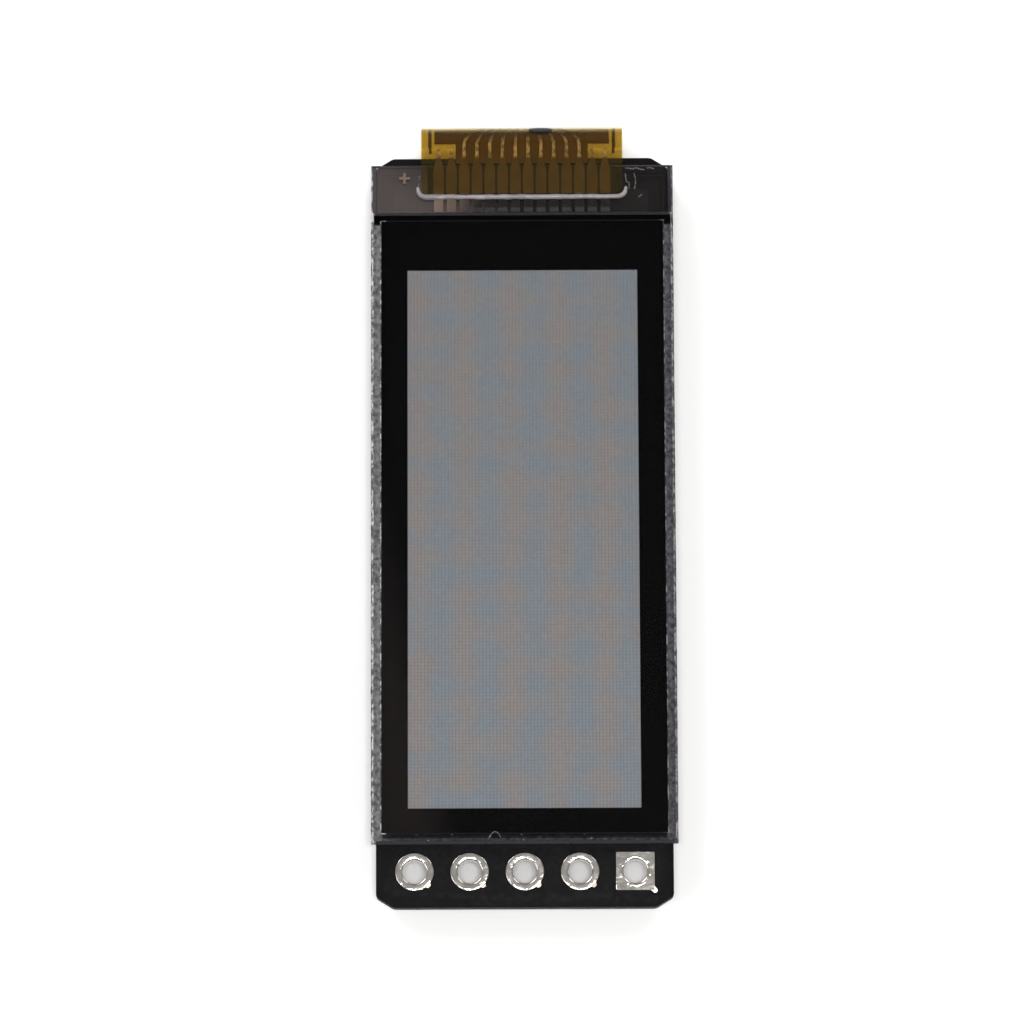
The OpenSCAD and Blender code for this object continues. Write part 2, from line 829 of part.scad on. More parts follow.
// The flip lock: a plate with a finger lip, a round head on its pivot, and slots for the contact hooks
module connector_latch() {
    color("#2b2622")
        difference() {
            union() {
                blade(latch_w) {
                    translate([pivot_v, pivot_z])
                        circle(head_r);
                    polygon([
                        [pivot_v, latch_lift], [pivot_v + latch_l - lip, latch_lift],
                        [pivot_v + latch_l, latch_lift + lip], [pivot_v + latch_l, latch_lift + latch_t],
                        [pivot_v, latch_lift + latch_t]
                    ]);
                }
                translate([0, y_pivot, pivot_z])
                    rotate([0, 90, 0])
                        cylinder(r = pivot_r, h = latch_w + 2 * pivot_l, center = true);
            }
            for (i = [0:ways - 1])
                translate([row_at(i, ways, contact_pitch), y_pivot, pivot_z])
                    rotate([0, 90, 0])
                        cylinder(r = hook_r, h = groove_w, center = true);
        }
}

// Bent metal tabs in the housing's sides, with feet on their lands
module connector_tabs() {
    tab_h = housing_h / 2;
    color("#bdb9ae")
        for (side = [-1, 1])
            tab_seat(side) {
                translate([-tab_t / 2, -tab_l / 2, -tab_h])
                    cube([tab_t, tab_l, tab_h]);
                translate([side > 0 ? tab_t / 2 : -tab_t / 2 - tab_foot, -tab_l / 2, -tab_t])
                    cube([tab_foot, tab_l, tab_t]);
            }
}

// Chip parts on the board's back

module at_chip(i) {
    translate([row_at(i, chip_count, chip_pitch), y_chips, z_lands])
        children();
}

// The body between the end caps, a little thinner than they are
module chip_body(i, h, tone) {
    rim = 0.02;
    color(tone)
        at_chip(i)
            translate([-chip_w / 2 + rim, -chip_l / 2 + cap_l, -h + rim])
                cube([chip_w - 2 * rim, chip_l - 2 * cap_l, h - 2 * rim]);
}

module chip_caps(i, h) {
    color("#c4c1b8")
        at_chip(i)
            for (y = [-chip_l / 2, chip_l / 2 - cap_l])
                translate([-chip_w / 2, y, -h])
                    cube([chip_w, cap_l, h]);
}

// A fillet that falls along +Y from a face of the given height
module fillet(w, h) {
    rotate([90, 0, 90])
        linear_extrude(w, center = true)
            polygon([[0, 0], [fillet_l, 0], [0, -h]]);
}

module solder_joints() {
    chip_fillet_h = 0.2;
    color("#c2c0bb") {
        for (i = [0:ways - 1])
            translate([row_at(i, ways, contact_pitch), y_mouth - solder_tail_v, z_lands])
                mirror([0, 1, 0])
                    fillet(contact_t, blade_h);
        for (side = [-1, 1])
            translate([side * (housing_w / 2 + tab_foot), y_mouth - tab_l, z_lands])
                rotate(-side * 90)
                    fillet(tab_l, tab_t);
        for (i = [0:chip_count - 1], side = [0, 1])
            at_chip(i)
                mirror([0, side, 0])
                    translate([0, chip_l / 2, 0])
                        fillet(chip_w, chip_fillet_h);
    }
}

printed_circuit_board();
for (i = [1:pin_count])
    header_pad(i);
board_lands();
mounting_tape();
rear_polarizer();
rear_glass();
glass_terminals();
cell_seal();
pixel_layer();
black_mask();
front_glass();
front_polarizer();
bond_film();
bond_resin();
flex_film();
flex_traces();
flex_guards();
flex_coverlay();
flex_shield();
flex_stiffener();
connector_housing();
connector_contacts();
connector_latch();
connector_tabs();
chip_body(0, capacitor_h, "#8f7350");  // capacitor_1
chip_caps(0, capacitor_h);  // capacitor_1_caps
chip_body(1, capacitor_h, "#8f7350");  // capacitor_2
chip_caps(1, capacitor_h);  // capacitor_2_caps
chip_body(2, resistor_h, "#1b1b1d");  // resistor
chip_caps(2, resistor_h);  // resistor_caps
solder_joints();
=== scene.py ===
"""Looks of a reflective memory display module: a small dot display on a breakout board.

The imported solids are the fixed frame. The pieces made here stand for them with finer shapes, and
every surface gets a procedural finish. Pieces are modelled in millimetres and settle in metres.
"""

import contextlib
import logging
import math
import random
from abc import ABC, abstractmethod
from collections.abc import Callable, Iterator, Sequence
from dataclasses import dataclass, field
from enum import Enum
from typing import Any

import bmesh
import bpy
from mathutils import Matrix, Vector


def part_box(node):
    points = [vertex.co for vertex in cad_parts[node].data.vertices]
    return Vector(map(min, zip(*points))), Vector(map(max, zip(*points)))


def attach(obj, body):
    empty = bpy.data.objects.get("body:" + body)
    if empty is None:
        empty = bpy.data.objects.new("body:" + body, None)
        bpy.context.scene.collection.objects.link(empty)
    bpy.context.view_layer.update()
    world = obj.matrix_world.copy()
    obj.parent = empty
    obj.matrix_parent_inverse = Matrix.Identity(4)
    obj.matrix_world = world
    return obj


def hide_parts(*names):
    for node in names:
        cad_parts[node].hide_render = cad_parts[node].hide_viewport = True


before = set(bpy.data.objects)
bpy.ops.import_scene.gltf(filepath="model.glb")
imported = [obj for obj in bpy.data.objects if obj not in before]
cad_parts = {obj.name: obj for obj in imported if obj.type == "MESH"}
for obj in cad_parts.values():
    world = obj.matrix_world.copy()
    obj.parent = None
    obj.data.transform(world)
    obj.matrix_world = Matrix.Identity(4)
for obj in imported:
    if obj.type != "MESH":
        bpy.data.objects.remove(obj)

LOG = logging.getLogger("display_module")
# Millimetres in a metre
MM = 1000.0
# Points closer than this, in millimetres, are merged
WELD = 1e-4
# Places closer than this, in millimetres, count as the same
NEAR = 1e-3
# Faces whose normal rises less than this slope, and less than that stand upright
SLOPED, UPRIGHT = 0.9, 0.5
# Values between which noise makes most of its change
NOISE_BAND = (0.3, 0.7)
# Grains across a patch of even gloss
GRAINS_PER_PATCH = 3

Colour = tuple[float, float, float]
Point = tuple[float, float, float]
Spot = tuple[float, float]
Span = tuple[float, float]
Piece = bpy.types.Object
Socket = bpy.types.NodeSocket
Test = Callable[[Any], bool]


class Body(Enum):
    """The CAD bodies that pieces ride on."""

    MODULE = "module"
    LATCH = "latch"


class Part(Enum):
    """The kind of mesh part that a selection is made of."""

    VERT = "verts"
    EDGE = "edges"
    FACE = "faces"


def box_mm(node: str) -> tuple[Vector, Vector]:
    """Read a CAD node's lowest and highest corner in millimetres.

    Args:
        node: Name of the CAD node.

    Returns:
        The two corners.
    """
    low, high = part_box(node)
    return low * MM, high * MM


class Shader:
    """The node tree of one finish, built node by node in millimetre coordinates."""

    def __init__(self, name: str) -> None:
        """Start an empty tree.

        Args:
            name: Name of the material.
        """
        self.material = bpy.data.materials.new(name)
        self.material.use_nodes = True
        self.tree = self.material.node_tree
        self.tree.nodes.clear()
        coords = self.add("ShaderNodeTexCoord")
        inputs = {"Vector": coords.outputs["Object"], "Scale": (MM, MM, MM)}
        self.place = self.add("ShaderNodeMapping", inputs).outputs["Vector"]

    def add(self, kind: str, inputs: dict | None = None, **options: object) -> bpy.types.Node:
        """Add a node and fill its sockets.

        Args:
            kind: Blender's name for the node.
            inputs: Socket names or numbers with a value or the socket that feeds them.
            **options: The node's own settings.

        Returns:
            The new node.
        """
        node = self.tree.nodes.new(kind)
        for key, value in options.items():
            setattr(node, key, value)
        for key, value in (inputs or {}).items():
            if isinstance(value, Socket):
                self.tree.links.new(value, node.inputs[key])
            else:
                node.inputs[key].default_value = value
        return node

    def axis(self, name: str) -> Socket:
        """One coordinate of the surface point in millimetres."""
        return self.add("ShaderNodeSeparateXYZ", {"Vector": self.place}).outputs[name]

    def aside(self) -> Socket:
        """Distance from the middle line that runs along the module."""
        return self.math("ABSOLUTE", self.axis("X"))

    def slope(self, lean: float) -> Socket:
        """Place across the width, which leans along the length."""
        return self.math("MULTIPLY_ADD", self.axis("Y"), lean, self.axis("X"))

    def wave(self, axis: str, length: float) -> Socket:
        """A sine wave along an axis, from -1 to 1."""
        return self.math("SINE", self.math("MULTIPLY", self.axis(axis), math.tau / length))

    def noise(self, per_mm: float, detail: float = 3.0, stretch: Point = (1, 1, 1)) -> Socket:
        """Noise over the piece.

        Args:
            per_mm: Patches to the millimetre.
            detail: Octaves of finer noise.
            stretch: Scale of the noise along each axis.

        Returns:
            A value from 0 to 1.
        """
        spread = self.add("ShaderNodeMapping", {"Vector": self.place, "Scale": stretch})
        inputs = {"Vector": spread.outputs["Vector"], "Scale": per_mm, "Detail": detail}
        return self.add("ShaderNodeTexNoise", inputs).outputs["Fac"]

    def mottle(self, per_mm: float, results: Span = (0.0, 1.0), detail: float = 4.0,
               stretch: Point = (1, 1, 1)) -> Socket:
        """Noise that is drawn out to patches of two values.

        Args:
            per_mm: Patches to the millimetre.
            results: The two values.
            detail: Octaves of finer noise.
            stretch: Scale of the noise along each axis.

        Returns:
            The value.
        """
        return self.span(self.noise(per_mm, detail, stretch), NOISE_BAND, results)

    def math(self, operation: str, *values: Socket | float) -> Socket:
        """Combine values with a math node.

        Args:
            operation: Blender's name for the operation.
            *values: Numbers or sockets.

        Returns:
            The result.
        """
        return self.add("ShaderNodeMath", dict(enumerate(values)), operation=operation).outputs[0]

    def product(self, first: Socket, *others: Socket) -> Socket:
        """Multiply values.

        Args:
            first: The first value.
            *others: The values that it is multiplied with.

        Returns:
            The product.
        """
        for other in others:
            first = self.math("MULTIPLY", first, other)
        return first

    def span(self, value: Socket, ends: Span, results: Span = (0.0, 1.0)) -> Socket:
        """Map a value from one span to another, held at the ends.

        Args:
            value: What is mapped.
            ends: Values at which the change starts and ends.
            results: Results at those values.

        Returns:
            The mapped value.
        """
        names = ("Value", "From Min", "From Max", "To Min", "To Max")
        inputs = dict(zip(names, (value, *ends, *results)))
        node = self.add("ShaderNodeMapRange", inputs, interpolation_type="SMOOTHSTEP")
        return node.outputs["Result"]

    def mix(self, share: Socket, first: Colour | Socket, second: Colour | Socket) -> Socket:
        """Mix two colours.

        Args:
            share: Share of the second colour.
            first: Colour at 0.
            second: Colour at 1.

        Returns:
            The mixed colour.
        """
        pair = [c if isinstance(c, Socket) else (*c, 1.0) for c in (first, second)]
        inputs = {"Factor": share, 6: pair[0], 7: pair[1]}
        return self.add("ShaderNodeMix", inputs, data_type="RGBA").outputs[2]

    def dim(self, colour: Socket, level: Socket) -> Socket:
        """Multiply a colour by a level.

        Args:
            colour: The colour.
            level: What it is multiplied by.

        Returns:
            The darker or brighter colour.
        """
        inputs = {0: colour, "Scale": level}
        return self.add("ShaderNodeVectorMath", inputs, operation="SCALE").outputs[0]

    def bump(self, height: Socket, depth_mm: float, below: Socket | None = None) -> Socket:
        """Turn a height into a bent normal.

        Args:
            height: Height from 0 to 1.
            depth_mm: Height of the relief.
            below: Normal that the relief sits on.

        Returns:
            The normal.
        """
        inputs = {"Height": height, "Distance": depth_mm / MM, "Strength": 1.0}
        if below is not None:
            inputs["Normal"] = below
        return self.add("ShaderNodeBump", inputs).outputs["Normal"]

    def gloss_share(self, head_on: float, grazing: float) -> Socket:
        """Share of light that a clear face mirrors, more at grazing angles.

        Args:
            head_on: Share mirrored head on.
            grazing: Share added at a grazing angle.

        Returns:
            The share.
        """
        facing = self.add("ShaderNodeLayerWeight", {"Blend": 0.5}).outputs["Facing"]
        return self.math("MULTIPLY_ADD", self.math("POWER", facing, 5.0), grazing, head_on)

    def finish(self, shader: bpy.types.Node) -> bpy.types.Material:
        """Put the shader on the surface.

        Args:
            shader: The last shader node.

        Returns:
            The finished material.
        """
        self.add("ShaderNodeOutputMaterial", {"Surface": shader.outputs[0]})
        return self.material


@dataclass(frozen=True)
class Finish(ABC):
    """What every finish has.

    Attributes:
        name: Name of the finish.
        colour: Main colour, or what a clear sheet lets through.
        gloss: The two values of its uneven roughness.
        relief: Height of the grain in millimetres.
        grains: Grains to the millimetre.
        stretch: Scale of grain and patches along each axis.
    """

    name: str
    colour: Colour
    gloss: Span
    relief: float
    grains: float
    stretch: Point = field(default=(1, 1, 1), kw_only=True)

    @abstractmethod
    def build(self, shader: Shader) -> bpy.types.Material:
        """Build the material.

        Args:
            shader: The empty node tree.

        Returns:
            The material.
        """

    def material(self) -> bpy.types.Material:
        """The finish's material, built once."""
        label = f"{self.name}_finish"
        return bpy.data.materials.get(label) or self.build(Shader(label))

    def roughness_of(self, shader: Shader) -> Socket:
        """Uneven gloss, in patches of a few grains."""
        return shader.mottle(self.grains / GRAINS_PER_PATCH, self.gloss, 3.0, self.stretch)

    def relief_of(self, shader: Shader) -> Socket:
        """Fine grain of the surface."""
        return shader.bump(shader.noise(self.grains, 2.0, self.stretch), self.relief)


@dataclass(frozen=True)
class SolidFinish(Finish):
    """An opaque finish with mottled colour, uneven gloss and a fine relief.

    Attributes:
        tint: The second colour.
        patches: Patches of colour to the millimetre.
        metallic: 1 for metal.
        coat: Weight of a clear coat.
        specular: Level of the sheen of what is no metal.
    """

    tint: Colour
    patches: float
    metallic: float = 0.0
    coat: float = 0.0
    specular: float = 0.5

    def colour_of(self, shader: Shader) -> Socket:
        """Mottling between the two colours."""
        share = shader.mottle(self.patches, stretch=self.stretch)
        return shader.mix(share, self.colour, self.tint)

    def build(self, shader: Shader) -> bpy.types.Material:
        """Build the material.

        Args:
            shader: The empty node tree.

        Returns:
            The material.
        """
        inputs = {
            "Base Color": self.colour_of(shader),
            "Roughness": self.roughness_of(shader),
            "Metallic": self.metallic,
            "Coat Weight": self.coat,
            "Specular IOR Level": self.specular,
        }
        if self.relief:
            inputs["Normal"] = self.relief_of(shader)
        return shader.finish(shader.add("ShaderNodeBsdfPrincipled", inputs))


@dataclass(frozen=True)
class WovenMask(SolidFinish):
    """Solder mask over glass cloth, whose weave shows faintly.

    Attributes:
        weave: Distance from thread to thread.
        weave_depth: Height of the threads.
    """

    weave: float = 0.45
    weave_depth: float = 0.0012

    def relief_of(self, shader: Shader) -> Socket:
        """Grain on top of the crossed threads of the cloth.

        Args:
            shader: The node tree.

        Returns:
            The normal.
        """
        threads = shader.product(*(shader.wave(axis, self.weave) for axis in "XY"))
        cloth = shader.bump(threads, self.weave_depth)
        return shader.bump(shader.noise(self.grains, 2.0), self.relief, cloth)


@dataclass(frozen=True)
class DotMirror(SolidFinish):
    """The mirrors of the dots, each a little different, in a tint that drifts from warm to cool.

    Attributes:
        pitch: Distance from dot to dot.
        beat: Lengths of the tint's waves across and along.
        along_share: Weight of the wave along beside the one across.
        drift: Weight of the noise beside the waves.
        turn: Sums of waves and noise that are warm and cool.
        shade_ends: Where the shade towards the flex starts and ends.
        top_shade: Level at the flex end.
        line: Width of the darker line beside each column of dots.
        line_levels: Levels on that line and off it.
        dot_levels: Least and greatest level of a dot.
    """

    pitch: float = 0.158
    beat: Span = (2.17, 1.74)
    along_share: float = 0.6
    drift: float = 6.0
    turn: Span = (1.3, 4.7)
    shade_ends: Span = (-13.0, 12.0)
    top_shade: float = 0.86
    line: float = 0.05
    line_levels: Span = (0.84, 1.03)
    dot_levels: Span = (0.97, 1.03)

    def colour_of(self, shader: Shader) -> Socket:
        """Tint in patches that repeat like a beat, level by dot, darker towards the flex end.

        Args:
            shader: The node tree.

        Returns:
            The colour.
        """
        across, along = (shader.wave(*pair) for pair in zip("XY", self.beat))
        beat = shader.math("MULTIPLY_ADD", along, self.along_share, across)
        drift = shader.math("MULTIPLY_ADD", shader.noise(self.patches), self.drift, beat)
        patch = shader.mix(shader.span(drift, self.turn), self.colour, self.tint)
        corner = {0: shader.place, 1: (self.pitch,) * 3}
        cell = shader.add("ShaderNodeVectorMath", corner, operation="SNAP").outputs[0]
        speck = shader.add("ShaderNodeTexWhiteNoise", {"Vector": cell}).outputs["Value"]
        column = shader.math("PINGPONG", shader.axis("X"), self.pitch / 2)
        level = shader.product(
            shader.span(speck, (0.0, 1.0), self.dot_levels),
            shader.span(shader.axis("Y"), self.shade_ends, (1.0, self.top_shade)),
            shader.span(column, (0.0, self.line), self.line_levels),
        )
        return shader.dim(patch, level)


@dataclass(frozen=True)
class ChippedEdge(SolidFinish):
    """A broken or cut edge: dull, with bright chips on the sides that face left and right.

    Attributes:
        reach: Distance from the middle line past which there are chips.
        blend: Width over which they set in.
        spread: Values of the noise between which a chip turns bright.
        right_share: Share of the chips' brightness that the right side keeps, a painted shade as if
            lit from the left.
        least: Brightness between the chips.
    """

    reach: float = 6.3
    blend: float = 0.2
    spread: Span = (0.46, 0.62)
    right_share: float = 0.5
    least: float = 0.1

    def colour_of(self, shader: Shader) -> Socket:
        """Chips by noise, only beyond a distance from the middle line, and fainter on the right as
        painted shade.

        Args:
            shader: The node tree.

        Returns:
            The colour.
        """
        chips = shader.span(shader.noise(self.patches, 5.0), self.spread, (self.least, 1.0))
        sides = shader.span(shader.aside(), (self.reach, self.reach + self.blend))
        # Painted light: the chips fade from the left side to the right, as if lit from the left.
        left = shader.span(shader.axis("X"), (-self.reach, self.reach), (1.0, self.right_share))
        return shader.mix(shader.product(chips, sides, left), self.colour, self.tint)


@dataclass(frozen=True)
class SideShade(SolidFinish):
    """A finish that changes from left to right: light and shade painted across the width.

    Attributes:
        across: Where the change starts and ends.
        lean: How far the change leans along the length.
    """

    across: Span = (-6.0, 6.0)
    lean: float = 0.0

    def colour_of(self, shader: Shader) -> Socket:
        """The two colours, mixed across the width and a little by noise.

        Args:
            shader: The node tree.

        Returns:
            The colour.
        """
        # Painted light and shade: the first colour is the lighter side, the second the darker one.
        drift = shader.math("ADD", shader.noise(self.patches), shader.slope(self.lean))
        return shader.mix(shader.span(drift, self.across), self.colour, self.tint)


@dataclass(frozen=True)
class SealFinish(SideShade):
    """The seal ring: flecked grey with painted light on the left, black where the border print
    covers it.

    Attributes:
        print_edge: Where the print at the flex end starts.
        print_blend: Width over which it sets in.
        foot: Where the print at the header end starts.
        foot_blend: Width over which that one sets in.
        inside: Distance from the middle line up to which the header end is printed.
        ink: Share of the print at the foot and above it.
        flecks: Levels of the flecks.
        black: Colour of the print.
    """

    print_edge: float = 13.5
    print_blend: float = 0.1
    foot: float = -15.31
    foot_blend: float = 0.06
    inside: float = 6.5
    ink: Span = (0.45, 0.9)
    flecks: Span = (0.5, 1.55)
    black: Colour = (0.001, 0.001, 0.001)

    def colour_of(self, shader: Shader) -> Socket:
        """Grey that is paler on the left by painted light, and turns black past the print's edges.

        Args:
            shader: The node tree.

        Returns:
            The colour.
        """
        along, blend = shader.axis("Y"), self.print_blend
        upper = shader.span(along, (self.print_edge, self.print_edge + blend))
        middle = shader.span(shader.aside(), (self.inside, self.inside + blend), (1.0, 0.0))
        lower = shader.span(along, (self.foot, self.foot + self.foot_blend), self.ink)
        printed = shader.math("MAXIMUM", upper, shader.product(lower, middle))
        # Painted light: the grey is paler on the left side.
        grey = shader.dim(super().colour_of(shader), shader.mottle(self.patches, self.flecks))
        return shader.mix(printed, grey, self.black)


@dataclass(frozen=True)
class StripMetal(SideShade):
    """The thin metal of the terminals, paler on the left by painted light, and paler in a band
    beside the front glass.

    Attributes:
        band: Where the band ends.
        blend: Width over which it ends.
        pale: Colour of the band.
    """

    band: float = 14.36
    blend: float = 0.06
    pale: Colour = (0.030, 0.028, 0.027)

    def colour_of(self, shader: Shader) -> Socket:
        """The metal, paler on the left by painted light, with the band mixed in where it is darker
        than that.

        Args:
            shader: The node tree.

        Returns:
            The colour.
        """
        # Painted light: the metal is paler on the left side.
        metal = super().colour_of(shader)
        right = shader.span(shader.axis("X"), self.across)
        band = shader.span(shader.axis("Y"), (self.band, self.band + self.blend), (1.0, 0.0))
        return shader.mix(shader.product(band, right), metal, self.pale)


@dataclass(frozen=True)
class CopperWithPaintedGlints(SolidFinish):
    """Copper that is dark, with painted glints: bright blotches in a band along the flex.

    Attributes:
        start: Where the band of painted glints sets in.
        stop: Where it ends.
        spread: Values of the noise between which a blotch turns bright.
        least: Brightness between the blotches.
    """

    start: Span = (16.7, 16.95)
    stop: Span = (17.45, 18.1)
    spread: Span = (0.35, 0.6)
    least: float = 0.25

    def colour_of(self, shader: Shader) -> Socket:
        """Dark copper with painted glints, in bright blotches in a band along the flex.

        Args:
            shader: The node tree.

        Returns:
            The colour.
        """
        along = shader.axis("Y")
        # Painted glints: bright copper blotches in the band where the flex leaves the board.
        share = shader.product(
            shader.span(along, self.start),
            shader.span(along, self.stop, (1.0, 0.0)),
            shader.span(shader.noise(self.patches), self.spread, (self.least, 1.0)),
        )
        return shader.mix(share, self.colour, self.tint)


@dataclass(frozen=True)
class ClearFinish(Finish):
    """A clear sheet: it tints what is behind it and mirrors what is in front.

    Attributes:
        mirror: Share of light mirrored head on.
        grazing: Share added at a grazing angle.
        sheen: Colour of what is mirrored.
        haze: Greatest share of a pale skin on the sheet.
        least_haze: Least share beside the greatest.
        haze_colour: Colour of that skin.
        haze_patches: Patches of it to the millimetre.
        fade: Where the mirroring starts and ends to fade, a painted reflection that is stronger on
            one side.
        lean: How far the fade leans along the length.
        faded: Share of the mirroring past the fade.
        rim: Distance from the middle line past which the sheet has another colour.
        rim_blend: Width over which that sets in.
        rim_colour: That colour.
    """

    mirror: float
    grazing: float = 0.4
    sheen: Colour = (1.0, 1.0, 1.0)
    haze: float = 0.0
    least_haze: float = 0.6
    haze_colour: Colour = (0.10, 0.06, 0.02)
    haze_patches: float = 1.5
    fade: Span | None = None
    lean: float = 0.0
    faded: float = 0.25
    rim: float | None = None
    rim_blend: float = 0.08
    rim_colour: Colour = (0.22, 0.22, 0.24)

    def clear_of(self, shader: Shader) -> Socket | tuple[float, ...]:
        """What the sheet lets through.

        Args:
            shader: The node tree.

        Returns:
            The colour, the same all over or with another one at the rim.
        """
        if self.rim is None:
            return (*self.colour, 1.0)
        side = shader.span(shader.aside(), (self.rim, self.rim + self.rim_blend))
        return shader.mix(side, self.colour, self.rim_colour)

    def share_of(self, shader: Shader) -> Socket:
        """Share of light that is mirrored.

        Args:
            shader: The node tree.

        Returns:
            The share, less past the fade.
        """
        share = shader.gloss_share(self.mirror, self.grazing)
        if self.fade is None:
            return share
        # Painted reflection: the share mirrored is less past the fade, so one side mirrors more.
        painted_reflection_share = shader.span(shader.slope(self.lean), self.fade, (1.0, self.faded))
        return shader.product(share, painted_reflection_share)

    def build(self, shader: Shader) -> bpy.types.Material:
        """Build the material.

        Args:
            shader: The empty node tree.

        Returns:
            The material.
        """
        body = shader.add("ShaderNodeBsdfTransparent", {"Color": self.clear_of(shader)})
        if self.haze:
            skin = {"Color": (*self.haze_colour, 1.0), "Normal": self.relief_of(shader)}
            film = shader.add("ShaderNodeBsdfDiffuse", skin)
            cover = shader.mottle(self.haze_patches, (self.least_haze * self.haze, self.haze))
            layers = {0: cover, 1: body.outputs[0], 2: film.outputs[0]}
            body = shader.add("ShaderNodeMixShader", layers)
        shine = {"Color": (*self.sheen, 1.0), "Roughness": self.roughness_of(shader)}
        if self.relief:
            shine["Normal"] = self.relief_of(shader)
        mirror = shader.add("ShaderNodeBsdfGlossy", shine)
        layers = {0: self.share_of(shader), 1: body.outputs[0], 2: mirror.outputs[0]}
        return shader.finish(shader.add("ShaderNodeMixShader", layers))


MASK = WovenMask("black_mask_board", (0.0034, 0.0034, 0.0041), (0.40, 0.52), 0.0012, 9.0,
                 (0.0049, 0.0049, 0.0057), 1.2, specular=0.05)
LAMINATE = SolidFinish("laminate_edge", (0.016, 0.013, 0.010), (0.6, 0.8), 0.004, 14.0,
                       (0.008, 0.007, 0.006), 5.0, stretch=(0.25, 0.25, 2.0), specular=0.2)
TIN = SolidFinish("tinned_copper", (0.70, 0.66, 0.61), (0.08, 0.12), 0.012, 4.0,
                  (0.60, 0.565, 0.52), 2.6, metallic=1.0)
COPPER_BLUSH = SolidFinish("copper_blush", (0.66, 0.56, 0.46), (0.25, 0.4), 0.003, 8.0,
                           (0.58, 0.45, 0.34), 6.0, metallic=1.0)
TAPE = SolidFinish("grey_tape", (0.006, 0.006, 0.0066), (0.7, 0.9), 0.004, 12.0,
                   (0.009, 0.009, 0.0094), 2.0, specular=0.1)
POLARIZER = ClearFinish("polarizer_film", (0.965, 0.965, 0.965), (0.03, 0.05), 0.0, 4.0,
                        mirror=0.0012)
FILM_EDGE = ChippedEdge("film_edge", (0.010, 0.010, 0.011), (0.3, 0.5), 0.004, 18.0,
                        (0.48, 0.48, 0.48), 4.0, specular=0.05, spread=(0.44, 0.66))
# Ledge glass: its mirroring is tinted pink and painted stronger on the left and nearer the front
# glass, a painted reflection.
GLASS = ClearFinish("panel_glass", (0.95, 0.945, 0.94), (0.02, 0.04), 0.0, 2.0, mirror=0.125,
                    sheen=(1.0, 0.83, 0.81), fade=(13.2, 19.0), lean=1.3, faded=0.11, rim=6.76)
COVER_GLASS = ClearFinish("cover_glass", (0.975, 0.975, 0.975), (0.02, 0.04), 0.0, 2.0,
                          mirror=0.0006)
GLASS_EDGE = ChippedEdge("ground_glass_edge", (0.030, 0.029, 0.034), (0.3, 0.5), 0.008, 9.0,
                         (0.55, 0.55, 0.56), 4.5, specular=0.1, reach=6.8, spread=(0.40, 0.68))
LEDGE_EDGE = ChippedEdge("broken_glass_edge", (0.030, 0.030, 0.033), (0.25, 0.45), 0.012, 9.0,
                         (0.50, 0.50, 0.50), 3.2, specular=0.1, reach=6.8, spread=(0.43, 0.62),
                         right_share=0.3)
# Terminal metal: paler on the left, painted light.
THIN_METAL = StripMetal("thin_film_metal", (0.130, 0.092, 0.075), (0.2, 0.32), 0.001, 8.0,
                        (0.010, 0.009, 0.008), 1.4, across=(-3.8, -1.2), specular=0.15)
# Seal: paler on the left, painted light.
SEAL = SealFinish("seal_adhesive", (0.175, 0.170, 0.175), (0.5, 0.7), 0.003, 8.0,
                  (0.076, 0.071, 0.080), 4.5, specular=0.02, across=(-6.4, -5.2))
DOTS = DotMirror("pixel_mirror", (0.222, 0.199, 0.192), (0.45, 0.6), 0.0004, 20.0,
                 (0.171, 0.203, 0.236), 0.6, specular=0.2)
DOT_GAP = SolidFinish("dot_gap", (0.130, 0.130, 0.133), (0.5, 0.6), 0.0005, 20.0,
                      (0.153, 0.153, 0.154), 3.0)
# Black border: paler towards the lower left, a painted reflection.
BORDER = SideShade("black_border", (0.0095, 0.0074, 0.0074), (0.4, 0.5), 0.0, 10.0,
                   (0.0006, 0.0006, 0.0009), 1.0, specular=0.02, across=(-7.6, -5.2), lean=0.2)
BOND = SolidFinish("bonding_film", (0.007, 0.0045, 0.0015), (0.4, 0.6), 0.002, 20.0,
                   (0.004, 0.0025, 0.001), 5.0, specular=0.1)
RESIN = SolidFinish("pale_resin", (0.25, 0.23, 0.232), (0.25, 0.42), 0.006, 5.0,
                    (0.17, 0.153, 0.153), 2.6)
SMEAR = ClearFinish("thin_resin", (0.96, 0.95, 0.95), (0.2, 0.3), 0.002, 5.0, mirror=0.012,
                    haze=0.6, haze_colour=(0.15, 0.14, 0.14), haze_patches=2.6)
AMBER = ClearFinish("amber_film", (0.96, 0.905, 0.69), (0.10, 0.16), 0.0003, 6.0, mirror=0.010,
                    grazing=1.0, haze=0.05, haze_colour=(0.10, 0.07, 0.02), haze_patches=1.5)
# Flex copper: dark, with painted glints in the band where the flex leaves the board.
COPPER = CopperWithPaintedGlints("flex_copper", (0.060, 0.039, 0.024), (0.34, 0.46), 0.002, 9.0,
                    (0.38, 0.27, 0.23), 5.0, metallic=1.0)
BROWN_FILM = ClearFinish("brown_film", (0.885, 0.83, 0.62), (0.25, 0.4), 0.0006, 6.0, mirror=0.006,
                         haze=0.04, haze_colour=(0.10, 0.06, 0.02), haze_patches=1.5)
SHIELD = SolidFinish("shield_film", (0.060, 0.032, 0.031), (0.5, 0.65), 0.002, 8.0,
                     (0.076, 0.041, 0.040), 1.6, specular=0.1)
